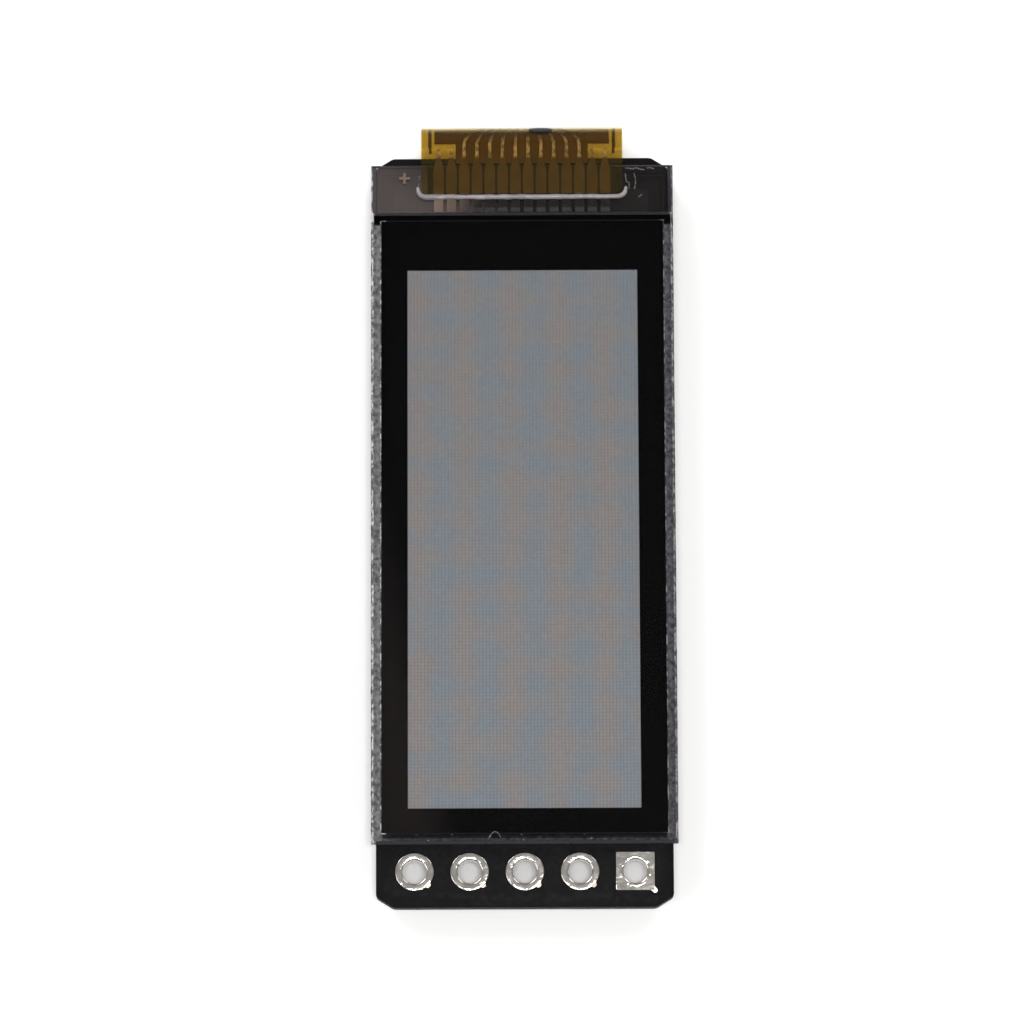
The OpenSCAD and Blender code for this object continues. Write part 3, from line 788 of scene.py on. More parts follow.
# Guard lines: copper painted near black, the dark it shows against the light through the film, a
# painted shade.
GUARD = SolidFinish("guard_line", (0.030, 0.014, 0.004), (0.4, 0.5), 0.001, 8.0,
                    (0.040, 0.020, 0.006), 3.0, specular=0.2)
STIFFENER = SolidFinish("stiffener_film", (0.30, 0.15, 0.025), (0.35, 0.5), 0.002, 6.0,
                        (0.24, 0.115, 0.018), 1.2, coat=0.2)
HOUSING = SolidFinish("connector_plastic", (0.62, 0.57, 0.46), (0.4, 0.55), 0.003, 9.0,
                      (0.54, 0.49, 0.39), 1.0)
CONTACT = SolidFinish("contact_metal", (0.83, 0.62, 0.28), (0.18, 0.34), 0.002, 12.0,
                      (0.74, 0.52, 0.22), 3.0, metallic=1.0)
LATCH = SolidFinish("latch_plastic", (0.024, 0.020, 0.017), (0.38, 0.52), 0.003, 9.0,
                    (0.036, 0.030, 0.026), 1.4)
CERAMIC = SolidFinish("capacitor_ceramic", (0.27, 0.185, 0.11), (0.4, 0.6), 0.004, 16.0,
                      (0.22, 0.15, 0.09), 4.0)
GLAZE = SolidFinish("resistor_glaze", (0.010, 0.010, 0.012), (0.2, 0.35), 0.002, 10.0,
                    (0.016, 0.016, 0.018), 3.0, coat=0.4)
INK = SolidFinish("ink_dot", (0.003, 0.003, 0.003), (0.18, 0.28), 0.002, 6.0, (0.006, 0.006, 0.006),
                  3.0, specular=0.15)
DUST = SolidFinish("dust", (0.26, 0.255, 0.25), (0.8, 0.95), 0.004, 20.0, (0.18, 0.175, 0.17), 8.0)


class Bench:
    """Hand tools of the edit mode. Pieces are in millimetres until they settle."""

    @staticmethod
    def clear() -> None:
        """Leave edit mode and deselect everything."""
        if bpy.context.object is not None and bpy.context.object.mode != "OBJECT":
            bpy.ops.object.mode_set(mode="OBJECT")
        bpy.ops.object.select_all(action="DESELECT")

    @classmethod
    def take(cls, *pieces: Piece) -> Piece:
        """Select pieces, the first of them active.

        Args:
            *pieces: The pieces to select.

        Returns:
            The active piece.
        """
        cls.clear()
        for piece in pieces:
            piece.select_set(True)
        bpy.context.view_layer.objects.active = pieces[0]
        return pieces[0]

    @staticmethod
    def apply_place() -> None:
        """Apply the place, turn and size of the selected piece to its mesh."""
        bpy.ops.object.transform_apply(location=True, rotation=True, scale=True)

    @classmethod
    def named(cls, name: str) -> Piece:
        """Name the primitive that was just added and apply its place.

        Args:
            name: Name of the piece.

        Returns:
            The piece.
        """
        piece = bpy.context.active_object
        piece.name = piece.data.name = name
        cls.apply_place()
        return piece

    @classmethod
    def box(cls, name: str, low: Sequence[float], high: Sequence[float]) -> Piece:
        """Add a block between two corners.

        Args:
            name: Name of the piece.
            low: Lowest corner.
            high: Highest corner.

        Returns:
            The block.
        """
        cls.clear()
        a, b = Vector(low), Vector(high)
        bpy.ops.mesh.primitive_cube_add(size=1.0, location=(a + b) / 2, scale=b - a)
        return cls.named(name)

    @classmethod
    def rod(cls, name: str, centre: Spot, radius: float, span: Span, sides: int = 48) -> Piece:
        """Add an upright cylinder.

        Args:
            name: Name of the piece.
            centre: X and Y of its axis.
            radius: Its radius.
            span: Z of its lower and upper end.
            sides: Number of its sides.

        Returns:
            The cylinder.
        """
        cls.clear()
        low, high = span
        bpy.ops.mesh.primitive_cylinder_add(vertices=sides, radius=radius, depth=high - low,
                                            location=(*centre, (low + high) / 2))
        return cls.named(name)

    @classmethod
    def copy_of(cls, node: str, name: str) -> Piece:
        """Copy a CAD node, merge its loose triangles and dissolve its flat faces.

        Args:
            node: Name of the CAD node.
            name: Name of the copy.

        Returns:
            The copy.
        """
        piece = bpy.data.objects.new(name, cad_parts[node].data.copy())
        piece.data.name = name
        piece.data.materials.clear()
        bpy.context.scene.collection.objects.link(piece)
        cls.take(piece)
        piece.scale = (MM, MM, MM)
        cls.apply_place()
        with cls.editing(piece, Part.EDGE, everything=True):
            bpy.ops.mesh.customdata_custom_splitnormals_clear()
            bpy.ops.mesh.remove_doubles(threshold=WELD)
            bpy.ops.mesh.dissolve_limited(angle_limit=math.radians(1.0))
        return piece

    @classmethod
    def copy(cls, piece: Piece, name: str, shift: Point, size: float = 1.0,
             turn: float = 0.0) -> Piece:
        """Copy a finished shape to another place.

        Args:
            piece: The piece to copy.
            name: Name of the copy.
            shift: How far the copy lies from it.
            size: Size of the copy beside it.
            turn: Turn about the upright axis.

        Returns:
            The copy, with its own mesh.
        """
        cls.take(piece)
        bpy.ops.object.duplicate(linked=False)
        twin = bpy.context.active_object
        twin.location = shift
        twin.scale = (size, size, size)
        twin.rotation_euler = (0.0, 0.0, turn)
        return cls.named(name)

    @classmethod
    @contextlib.contextmanager
    def editing(cls, piece: Piece, part: Part, everything: bool = False) -> Iterator[None]:
        """Edit a piece with all of it or nothing selected at first.

        Args:
            piece: The piece to edit.
            part: The kind of part to select.
            everything: True to start with all of it selected.

        Yields:
            Nothing, while the piece is in edit mode.
        """
        cls.take(piece)
        bpy.ops.object.mode_set(mode="EDIT")
        bpy.ops.mesh.select_mode(type=part.name)
        bpy.ops.mesh.select_all(action="SELECT" if everything else "DESELECT")
        yield
        bpy.ops.object.mode_set(mode="OBJECT")

    @staticmethod
    def pick(piece: Piece, part: Part, test: Test) -> int:
        """Select parts of the edited mesh by a test of their place or normal.

        Args:
            piece: The piece in edit mode.
            part: The kind of part.
            test: Says whether a part is selected.

        Returns:
            The number of parts selected.
        """
        mesh = bmesh.from_edit_mesh(piece.data)
        found = [item for item in getattr(mesh, part.value) if test(item)]
        for item in found:
            item.select_set(True)
        bmesh.update_edit_mesh(piece.data)
        return len(found)

    @classmethod
    def slice(cls, piece: Piece, point: Sequence[float], normal: Sequence[float]) -> None:
        """Cut off what lies beyond a plane and close the cut.

        Args:
            piece: The piece.
            point: A point on the plane.
            normal: The side that goes.
        """
        with cls.editing(piece, Part.FACE, everything=True):
            bpy.ops.mesh.bisect(plane_co=point, plane_no=normal, clear_outer=True, use_fill=True)

    @classmethod
    def round_edges(cls, piece: Piece, width: float, steps: int, test: Test) -> None:
        """Bevel the edges that a test picks.

        Args:
            piece: The piece.
            width: Width of the bevel.
            steps: Number of its segments.
            test: Says whether an edge is bevelled.
        """
        with cls.editing(piece, Part.EDGE):
            if cls.pick(piece, Part.EDGE, test):
                bpy.ops.mesh.bevel(offset=width, segments=steps, profile=0.5, affect="EDGES",
                                   clamp_overlap=True)

    @classmethod
    def round_sharp(cls, piece: Piece, width: float, steps: int = 2) -> None:
        """Bevel every sharp edge.

        Args:
            piece: The piece.
            width: Width of the bevel.
            steps: Number of its segments.
        """
        limit = math.radians(40.0)
        cls.round_edges(piece, width, steps,
                        lambda e: e.is_manifold and e.calc_face_angle() > limit)

    @classmethod
    def cut(cls, piece: Piece, cutter: Piece) -> None:
        """Take one piece's shape out of another.

        Args:
            piece: The piece that is cut.
            cutter: The shape that goes, which is used up.
        """
        cls.take(piece)
        modifier = piece.modifiers.new("cut", "BOOLEAN")
        modifier.operation = "DIFFERENCE"
        modifier.solver = "EXACT"
        modifier.object = cutter
        bpy.ops.object.modifier_apply(modifier=modifier.name)
        bpy.data.objects.remove(cutter)

    @classmethod
    def thicken(cls, sheet: Piece, thickness: float, offset: float) -> None:
        """Give a sheet its thickness.

        Args:
            sheet: The sheet.
            thickness: Its thickness.
            offset: 1 to add it outwards, -1 to add it inwards.
        """
        cls.take(sheet)
        modifier = sheet.modifiers.new("thickness", "SOLIDIFY")
        modifier.thickness = thickness
        modifier.offset = offset
        bpy.ops.object.modifier_apply(modifier=modifier.name)

    @classmethod
    def join(cls, name: str, pieces: Sequence[Piece]) -> Piece:
        """Join pieces into the first of them.

        Args:
            name: Name of the joined piece.
            pieces: The pieces.

        Returns:
            The joined piece.
        """
        first = cls.take(*pieces)
        bpy.ops.object.join()
        first.name = first.data.name = name
        return first

    @staticmethod
    def weld() -> None:
        """Merge the points of the edited mesh that coincide, and leave it all selected."""
        bpy.ops.mesh.select_all(action="SELECT")
        bpy.ops.mesh.remove_doubles(threshold=WELD)
        bpy.ops.mesh.select_all(action="SELECT")

    @classmethod
    def lathe(cls, name: str, profile: Sequence[Spot], centre: Spot, steps: int = 56) -> Piece:
        """Draw a closed profile point by point and spin it about an upright axis.

        Args:
            name: Name of the piece.
            profile: Radius and height of each point.
            centre: X and Y of the axis.
            steps: Number of steps round the axis.

        Returns:
            The turned piece.
        """
        cls.clear()
        (x, y), (radius, height) = centre, profile[0]
        bpy.ops.mesh.primitive_plane_add(size=1.0, location=(x + radius, y, height))
        piece = cls.named(name)
        with cls.editing(piece, Part.VERT, everything=True):
            bpy.ops.mesh.merge(type="CENTER")
            for (r0, z0), (r1, z1) in zip(profile, [*profile[1:], profile[0]]):
                step = {"value": (r1 - r0, 0.0, z1 - z0)}
                bpy.ops.mesh.extrude_vertices_move(TRANSFORM_OT_translate=step)
            cls.weld()
            bpy.ops.mesh.spin(steps=steps, angle=math.tau, center=(x, y, 0.0), axis=(0.0, 0.0, 1.0))
            cls.weld()
            bpy.ops.mesh.normals_make_consistent(inside=False)
        return piece

    @classmethod
    def tube(cls, name: str, line: Sequence[Point], radii: Sequence[float], smooth: bool,
             sides: int = 2) -> Piece:
        """Sweep a round section along a line.

        Args:
            name: Name of the piece.
            line: Points of the line.
            radii: Radius at each point.
            smooth: True for a flowing line, False for straight runs.
            sides: Fineness of the section.

        Returns:
            The tube as a mesh.
        """
        curve = bpy.data.curves.new(name, "CURVE")
        curve.dimensions = "3D"
        curve.bevel_depth = 1.0
        curve.bevel_resolution = sides
        curve.use_fill_caps = True
        spline = curve.splines.new("NURBS" if smooth else "POLY")
        spline.points.add(len(line) - 1)
        for point, place, radius in zip(spline.points, line, radii):
            point.co = (*place, 1.0)
            point.radius = radius
        if smooth:
            spline.use_endpoint_u = True
            spline.order_u = 3
            spline.resolution_u = 6
        piece = bpy.data.objects.new(name, curve)
        bpy.context.scene.collection.objects.link(piece)
        cls.take(piece)
        bpy.ops.object.convert(target="MESH")
        return cls.named(name)

    @classmethod
    def flatten(cls, piece: Piece, z: float, share: float) -> None:
        """Press a piece flat towards a height.

        Args:
            piece: The piece.
            z: The height that stays.
            share: Share of the height that is kept.
        """
        with cls.editing(piece, Part.VERT, everything=True):
            bpy.ops.transform.resize(value=(1.0, 1.0, share), center_override=(0.0, 0.0, z))

    @classmethod
    def chip(cls, piece: Piece, level: float, amount: float, cuts: int, seed: int) -> None:
        """Roughen the edges along the sides at one height as broken glass is.

        Args:
            piece: The piece.
            level: Height of the edges, which they keep.
            amount: Largest shift of a point.
            cuts: Points added along each edge.
            seed: Seed of the shifts.
        """
        def test(edge: bmesh.types.BMEdge) -> bool:
            """True for a side edge at the height."""
            first, second = (v.co for v in edge.verts)
            return max(abs(first.z - level), abs(second.z - level), abs(first.x - second.x)) < NEAR

        with cls.editing(piece, Part.EDGE):
            cls.pick(piece, Part.EDGE, test)
            bpy.ops.mesh.subdivide(number_cuts=cuts)
            bpy.ops.transform.vertex_random(offset=amount, uniform=0.9, seed=seed,
                                            wait_for_input=False)
            bpy.ops.transform.resize(value=(1.0, 1.0, 0.0), center_override=(0.0, 0.0, level))

    @classmethod
    def dress(cls, piece: Piece, *finishes: Finish) -> None:
        """Give a piece its finishes, the first of them all over.

        Args:
            piece: The piece.
            *finishes: Its finishes in the order of the slots.
        """
        piece.data.materials.clear()
        for finish in finishes:
            piece.data.materials.append(finish.material())

    @classmethod
    def paint(cls, piece: Piece, index: int, test: Test) -> None:
        """Give the faces that a test picks another finish.

        Args:
            piece: The piece.
            index: Number of the finish's slot.
            test: Says whether a face gets it.
        """
        with cls.editing(piece, Part.FACE):
            cls.pick(piece, Part.FACE, test)
            piece.active_material_index = index
            bpy.ops.object.material_slot_assign()

    @classmethod
    def settle(cls, piece: Piece, slot: str, nodes: Sequence[str] = (), body: Body = Body.MODULE,
               angle: float = 35.0) -> None:
        """Smooth a finished piece, bring it to metres and set it on its body.

        Args:
            piece: The piece.
            slot: The record's material slot; not used.
            nodes: CAD nodes that it stands for.
            body: The body that it rides on.
            angle: Edges sharper than this, in degrees, stay sharp.
        """
        cls.take(piece)
        bpy.ops.object.shade_smooth_by_angle(angle=math.radians(angle))
        piece.scale = (1.0 / MM,) * 3
        cls.apply_place()
        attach(piece, body.value)
        if nodes:
            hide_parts(*nodes)
        LOG.info("%s: %d faces", piece.name, len(piece.data.polygons))

    @classmethod
    def keep(cls, node: str, finish: Finish) -> None:
        """Keep a CAD node whose shape is right and give it its finish.

        Args:
            node: Name of the CAD node.
            finish: Its finish.
        """
        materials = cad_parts[node].data.materials
        materials.clear()
        materials.append(finish.material())
        LOG.info("%s: kept", node)


def is_upright(edge: bmesh.types.BMEdge) -> bool:
    """True for an edge that goes from one height to another."""
    return abs(edge.verts[0].co.z - edge.verts[1].co.z) > NEAR


def is_sloped(face: bmesh.types.BMFace) -> bool:
    """True for a face that slopes or stands upright."""
    return abs(face.normal.z) < SLOPED


def on_rim(low: Vector, high: Vector, both: bool = True) -> Test:
    """Make a test for the edges round a block's upper face, or both its faces.

    Args:
        low: Lowest corner of the block.
        high: Highest corner of the block.
        both: True for both faces.

    Returns:
        The test.
    """
    levels = (high.z, low.z) if both else (high.z,)

    def test(edge: bmesh.types.BMEdge) -> bool:
        """True for an outline edge at one of the levels."""
        flat = any(all(abs(v.co.z - z) < NEAR for v in edge.verts) for z in levels)
        return flat and any(abs(f.normal.z) < UPRIGHT for f in edge.link_faces)

    return test


@dataclass
class CircuitBoard:
    """The black-masked board, its plated holes and the tracks on its back.

    Attributes:
        corner: Width and length that each chamfer takes off.
        corner_round: Rounding of the chamfers' ends.
        rim: Rounding of the outline.
        wall: Faces whose normal rises less than this show the laminate.
        pins: Number of header holes.
        pitch: Distance from hole to hole.
        pin_inset: Distance of the row from the board's end.
        hole: Radius of the plated hole.
        drill: Radius of the hole in the board.
        pad: Radius or half width of a pad.
        opening: Radius or half width of the mask's opening.
        mask: Depth of the mask's opening.
        lip: Rounding of an eyelet's mouth.
        edge: Width of the round at an eyelet's rim.
        collar: Radius of the eyelet in the square pad.
        plate_corner: Rounding of the square pad's corners.
        plate_rim: Rounding of its rim.
        stub: Width of the trace at a pad and its length outside.
        stub_overlap: How far it reaches into the pad.
        stub_drop: How far it lies below the pad's top.
        stub_step: Share of that length at which it falls to the mask.
        taper: Share of its width at the far end.
        over: How far cutters reach past what they cut.
        track_start: Share of a pad's radius at which its track starts.
        track_end: How far tracks reach under the contacts.
        track_height: Height of the tracks under the mask.
        track_base: How far tracks reach into the board.
        signal: Width of a signal's track.
        branch: Width of a track to a chip part.
        ground: Width of the middle track.
        turns: Distances from the header at which the signals' tracks turn.
        contact: Distance from contact to contact.
        chip_end: Distance of the chip parts' outer ends from the middle.
        via: Distance of the vias from the middle and from the chip parts.
        via_radius: Their radius.
        via_base: How far they reach into the board.
        via_rim: Their rounding.
    """

    corner: Spot = (0.8, 0.5)
    corner_round: float = 0.12
    rim: float = 0.045
    wall: float = 0.3
    pins: int = 5
    pitch: float = 2.54
    pin_inset: float = 1.66
    hole: float = 0.55
    drill: float = 0.68
    pad: float = 0.89
    opening: float = 1.0
    mask: float = 0.02
    lip: float = 0.08
    edge: float = 0.05
    collar: float = 0.76
    plate_corner: float = 0.05
    plate_rim: float = 0.02
    stub: tuple[float, float] = (0.34, 0.11)
    stub_overlap: float = 0.07
    stub_drop: float = 0.004
    stub_step: float = 0.6
    taper: float = 0.5
    over: float = 0.5
    track_start: float = 0.8
    track_end: float = 0.1
    track_height: float = 0.02
    track_base: float = 0.004
    signal: float = 0.22
    branch: float = 0.3
    ground: float = 0.5
    turns: tuple[float, float] = (4.1, 2.4)
    contact: float = 0.5
    chip_end: float = 2.2
    via: Spot = (3.2, 2.8)
    via_radius: float = 0.3
    via_base: float = 0.1
    via_rim: float = 0.015

    def __post_init__(self) -> None:
        """Read the board's corners from the frame."""
        self.low, self.high = box_mm("printed_circuit_board")
        self.pad_low, self.pad_high = (v.z for v in box_mm("header_pad_1"))
        self.row = self.low.y + self.pin_inset
        self.floor = self.high.z - self.mask

    def pin(self, i: int) -> Spot:
        """Centre of a header hole."""
        return ((i - (self.pins - 1) / 2) * self.pitch, self.row)

    def is_square(self, i: int) -> bool:
        """True for the pad at the right-hand end."""
        return i == self.pins - 1

    def stub_block(self, i: int, start: float, top: float) -> Piece:
        """The short trace that leaves a pad at 45 degrees.

        Args:
            i: Number of the pad.
            start: Distance from the pad's centre.
            top: Height of its upper face.

        Returns:
            The block, turned into place.
        """
        width, length = self.stub
        reach = self.pad * (math.sqrt(2.0) if self.is_square(i) else 1.0) + length

        def at_end(vert: bmesh.types.BMVert) -> bool:
            """True for a point at the far end."""
            return vert.co.x > reach - NEAR

        block = Bench.box(f"stub_{i}", (start, -width / 2, self.floor), (reach, width / 2, top))
        with Bench.editing(block, Part.VERT):
            Bench.pick(block, Part.VERT, at_end)
            bpy.ops.transform.resize(value=(1.0, self.taper, 1.0),
                                     center_override=(reach, 0.0, 0.0))
        Bench.round_edges(block, self.taper * width / 3, 3,
                          lambda e: is_upright(e) and all(at_end(v) for v in e.verts))
        Bench.take(block)
        block.rotation_euler = (0.0, 0.0, -math.pi / 4)
        block.location = (*self.pin(i), 0.0)
        Bench.apply_place()
        return block

    def mask_cutter(self, i: int, span: Span) -> Piece:
        """The shape of a mask opening.

        Args:
            i: Number of the pad.
            span: Lower and upper height.

        Returns:
            The cutter.
        """
        x, y = self.pin(i)
        if self.is_square(i):
            r, (low, high) = self.opening, span
            return Bench.box("opening", (x - r, y - r, low), (x + r, y + r, high))
        return Bench.rod("opening", (x, y), self.opening, span, 64)

    def build_board(self) -> None:
        """Model the board: chamfered corners, routed rim, drilled holes and mask openings."""
        board = Bench.box("circuit_board", self.low, self.high)
        cx, cy = self.corner
        for sx in (-1, 1):
            for sy, end in ((-1, self.low.y), (1, self.high.y)):
                Bench.slice(board, (sx * (self.high.x - cx), end, 0.0), (sx * cy, sy * cx, 0.0))
        Bench.round_edges(board, self.corner_round, 3, is_upright)
        Bench.round_edges(board, self.rim, 2, on_rim(self.low, self.high))
        Bench.dress(board, MASK, LAMINATE)
        Bench.paint(board, 1, lambda f: abs(f.normal.z) < self.wall)
        below, above = self.low.z - self.over, self.high.z + self.over
        for i in range(self.pins):
            Bench.cut(board, self.mask_cutter(i, (self.floor, above)))
            Bench.cut(board, self.mask_cutter(i, (below, self.low.z + self.mask)))
            Bench.cut(board, self.stub_block(i, 0.0, above))
            Bench.cut(board, Bench.rod("drill", self.pin(i), self.drill, (below, above)))
        Bench.settle(board, "black_mask_board", ["printed_circuit_board"])

    def eyelet(self, outer: float) -> list[Spot]:
        """Profile of a plated eyelet with rounded lips.

        Args:
            outer: Radius of its pads.

        Returns:
            Radius and height of each point, round the section.
        """
        steps = 6
        quarter = [math.pi / 2 * k / steps for k in range(steps + 1)]
        top, lip, edge = self.pad_high, self.lip, self.edge
        fall = top - self.floor
        upper = [(self.hole + lip * (1.0 - math.cos(a)), top - lip * (1.0 - math.sin(a)))
                 for a in quarter]
        upper += [(outer - edge * (1.0 - math.sin(a)), top - fall * (1.0 - math.cos(a)))
                  for a in quarter]
        upper.append((self.drill, self.floor))
        both_ends = self.pad_high + self.pad_low
        lower = [(r, both_ends - z) for r, z in reversed(upper)]
        return upper + lower

    def build_pads(self) -> None:
        """Model the round eyelet once and copy it, and model the one with square pads."""
        last = self.pins - 1
        first = self.finish_pad(0, Bench.lathe("eyelet", self.eyelet(self.pad), self.pin(0)))
        core = Bench.lathe("core", self.eyelet(self.collar), self.pin(last))
        plates = [self.square_plate(last, z) for z in (self.floor, self.pad_low)]
        pads = [first]
        for i in range(1, last):
            pads.append(Bench.copy(first, f"plated_pad_{i + 1}", (i * self.pitch, 0.0, 0.0)))
        pads.append(self.finish_pad(last, Bench.join("square_pad", [core, *plates])))
        for i, pad in enumerate(pads):
            Bench.settle(pad, "tinned_copper", [f"header_pad_{i + 1}"], angle=20.0)

    def finish_pad(self, i: int, pad: Piece) -> Piece:
        """Add the trace stub to a pad and dress both.

        Args:
            i: Number of the pad.
            pad: The pad.

        Returns:
            The joined piece.
        """
        Bench.dress(pad, TIN, COPPER_BLUSH)
        start = self.pad - self.stub_overlap
        stub = self.stub_block(i, start, self.pad_high - self.stub_drop)
        middle = Vector(self.pin(i))
        far = start + self.stub_step * self.stub[1]
        with Bench.editing(stub, Part.VERT):
            Bench.pick(stub, Part.VERT, lambda v: v.co.z > self.high.z
                       and (v.co.xy - middle).length > far)
            fall = self.pad_high - self.high.z + self.mask / 2
            bpy.ops.transform.translate(value=(0.0, 0.0, -fall))
        Bench.dress(stub, TIN, COPPER_BLUSH)
        Bench.paint(stub, 1, lambda f: True)
        return Bench.join(f"plated_pad_{i + 1}", [pad, stub])

    def square_plate(self, i: int, z: float) -> Piece:
        """A square pad with rounded edges and room for the eyelet.

        Args:
            i: Number of the pad.
            z: Height of its lower face.

        Returns:
            The plate.
        """
        middle = Vector((*self.pin(i), z))
        low = middle - Vector((self.pad, self.pad, 0.0))
        high = middle + Vector((self.pad, self.pad, self.pad_high - self.floor))
        plate = Bench.box("square_plate", low, high)
        Bench.round_edges(plate, self.plate_corner, 2, is_upright)
        Bench.round_edges(plate, self.plate_rim, 2, on_rim(low, high))
        room = Bench.rod("room", self.pin(i), self.collar - self.edge,
                         (z - self.over, z + self.over), 56)
        Bench.cut(plate, room)
        return plate

    def routes(self, chips: Span) -> list[tuple[float, list[Spot]]]:
        """Plan the tracks from the header and the chip parts to the connector.

        Args:
            chips: Y of the chip parts' near and far end.

        Returns:
            Width and corners of each track.
        """
        near, far = chips
        start = self.row + self.track_start * self.pad
        top = box_mm("connector_contacts")[0].y + self.track_end
        via_x, via_y = self.via[0], near - self.via[1]
        routes = [(self.ground, [(0.0, start), (0.0, near)])]
        first, second, third, _, fifth = ((n + 0.5) * self.contact for n in range(5))
        for side in (-1, 1):
            for pin, end, turn in zip((2 * self.pitch, self.pitch), (third, second), self.turns):
                y = self.row + turn
                line = [(pin, start), (pin, y), (end, y + pin - end), (end, top)]
                routes.append((self.signal, [(side * x, y) for x, y in line]))
            step = via_x - self.chip_end
            corner = via_y + step
            for width, line in (
                (self.branch, [(self.chip_end, far), (fifth, top)]),
                (self.signal, [(0.0, far), (first, far + first), (first, top)]),
                (self.branch, [(self.chip_end, near), (self.chip_end, corner + step),
                               (via_x, corner), (via_x, via_y)]),
            ):
                routes.append((width, [(side * x, y) for x, y in line]))
        return routes

    def build_tracks(self) -> None:
        """Lay the tracks that run under the mask and the vias that they end in."""
        z = self.low.z
        near, far = (v.y for v in box_mm("resistor_caps"))
        runs = []
        for k, (width, route) in enumerate(self.routes((near, far))):
            line = [(x, y, z) for x, y in route]
            runs.append(Bench.tube(f"track_{k}", line, [width / 2] * len(line), False))
            Bench.flatten(runs[-1], z, 2 * self.track_height / width)
        ends = (z - self.track_height, z + self.via_base)
        for side in (-1, 1):
            spot = (side * self.via[0], near - self.via[1])
            via = Bench.rod("via", spot, self.via_radius, ends, 24)
            Bench.round_edges(via, self.via_rim, 2, on_rim(*(Vector((*spot, end)) for end in ends)))
            runs.append(via)
        tracks = Bench.join("masked_tracks", runs)
        Bench.slice(tracks, (0.0, 0.0, z + self.track_base), (0.0, 0.0, 1.0))
        Bench.dress(tracks, MASK)
        Bench.settle(tracks, "black_mask_board", angle=60.0)

    def build(self) -> None:
        """Build the board and all that belongs to it."""
        self.build_board()
        self.build_pads()
        self.build_tracks()
        Bench.keep("board_lands", TIN)


@dataclass
class DisplayPanel:
    """The glass cell on its tape: plates, films, border and dots.

    Attributes:
        rear_bevel: Width of the slope at the rear plate's edges.
        front_bevel: Width of the slope at the front plate's edges.
        chip_size: Largest depth of a chip in the glass.
        chips: Number of chips along an edge.
        rear_seed: Seed of the rear plate's chips.
        front_seed: Seed of the front plate's chips.
        film_bevel: Greatest width of the slope at a film's edge.
        film_share: Greatest share of a film's thickness that it takes.
        columns: Dots across.
        rows: Dots along.
        dot_start: Distance of the first row from the panel's end.
        pitch: Distance from dot to dot.
        gap: Gap between dots.
        dot_height: Height of a dot.
    """

    rear_bevel: float = 0.05
    front_bevel: float = 0.11
    chip_size: float = 0.022
    chips: int = 90
    rear_seed: int = 11
    front_seed: int = 23
    film_bevel: float = 0.05
    film_share: float = 0.4
    columns: int = 68
    rows: int = 160
    dot_start: float = 1.64
    pitch: float = 0.158
    gap: float = 0.024
    dot_height: float = 0.004

    def build_glass(self, node: str, name: str, face: Finish, edge: Finish, bevel: float,
                    seed: int) -> None:
        """Model a glass plate with broken edges.

        Args:
            node: CAD node of the plate.
            name: Name of the piece.
            face: Finish of its faces.
            edge: Finish of its edges.
            bevel: Width of its edges' slope.
            seed: Seed of the chips.
        """
        low, high = box_mm(node)
        plate = Bench.box(name, low, high)
        Bench.round_edges(plate, bevel, 1, on_rim(low, high))
        Bench.dress(plate, face, edge)
        Bench.paint(plate, 1, is_sloped)
        for k, level in enumerate((high.z, high.z - bevel)):
            Bench.chip(plate, level, self.chip_size, self.chips, seed + k)
        Bench.settle(plate, "panel_glass", [node])

    def build_film(self, node: str, name: str, edge: Finish) -> None:
        """Model a polarizing film with a cut edge.

        Args:
            node: CAD node of the film.
            name: Name of the piece.
            edge: Finish of its edge.
        """
        low, high = box_mm(node)
        film = Bench.box(name, low, high)
        bevel = min(self.film_bevel, self.film_share * (high.z - low.z))
        Bench.round_edges(film, bevel, 1, on_rim(low, high, both=False))
        Bench.dress(film, POLARIZER, edge)
        Bench.paint(film, 1, is_sloped)
        Bench.settle(film, "polarizer_film", [node])

    def build_dots(self) -> None:
        """Model the dots as raised mirrors on the cell's floor."""
        low, high = box_mm("pixel_layer")
        panel = box_mm("rear_glass")[0]
        width, length = self.columns * self.pitch, self.rows * self.pitch
        level = high.z - 2 * self.dot_height
        Bench.clear()
        middle = (0.0, panel.y + self.dot_start + length / 2, level)
        bpy.ops.mesh.primitive_grid_add(x_subdivisions=self.columns, y_subdivisions=self.rows,
                                        size=1.0, location=middle)
        dots = Bench.named("dot_mirrors")
        Bench.dress(dots, DOT_GAP, DOTS)
        with Bench.editing(dots, Part.FACE, everything=True):
            bpy.ops.transform.resize(value=(width, length, 1.0), center_override=middle)
            bpy.ops.mesh.inset(thickness=self.gap / 2, depth=0.0, use_individual=True)
            bpy.ops.transform.translate(value=(0.0, 0.0, self.dot_height))
            dots.active_material_index = 1
            bpy.ops.object.material_slot_assign()
        with Bench.editing(dots, Part.EDGE):
            Bench.pick(dots, Part.EDGE, lambda e: e.is_boundary)
            fall = {"value": (0.0, 0.0, low.z - level)}
            bpy.ops.mesh.extrude_edges_move(TRANSFORM_OT_translate=fall)
            bpy.ops.mesh.edge_face_add()
            bpy.ops.mesh.select_all(action="SELECT")
            bpy.ops.mesh.normals_make_consistent(inside=False)
        Bench.settle(dots, "pixel_mirror", ["pixel_layer"], angle=20.0)

    def build(self) -> None:
        """Build the panel from the tape up."""
        self.build_film("rear_polarizer", "rear_film", TAPE)
        self.build_glass("rear_glass", "rear_plate", GLASS, LEDGE_EDGE, self.rear_bevel,
                         self.rear_seed)
        self.build_dots()
        self.build_glass("front_glass", "front_plate", COVER_GLASS, GLASS_EDGE, self.front_bevel,
                         self.front_seed)
        self.build_film("front_polarizer", "front_film", FILM_EDGE)
        for node, finish in (("mounting_tape", TAPE), ("glass_terminals", THIN_METAL),
                             ("cell_seal", SEAL), ("black_mask", BORDER)):
            Bench.keep(node, finish)


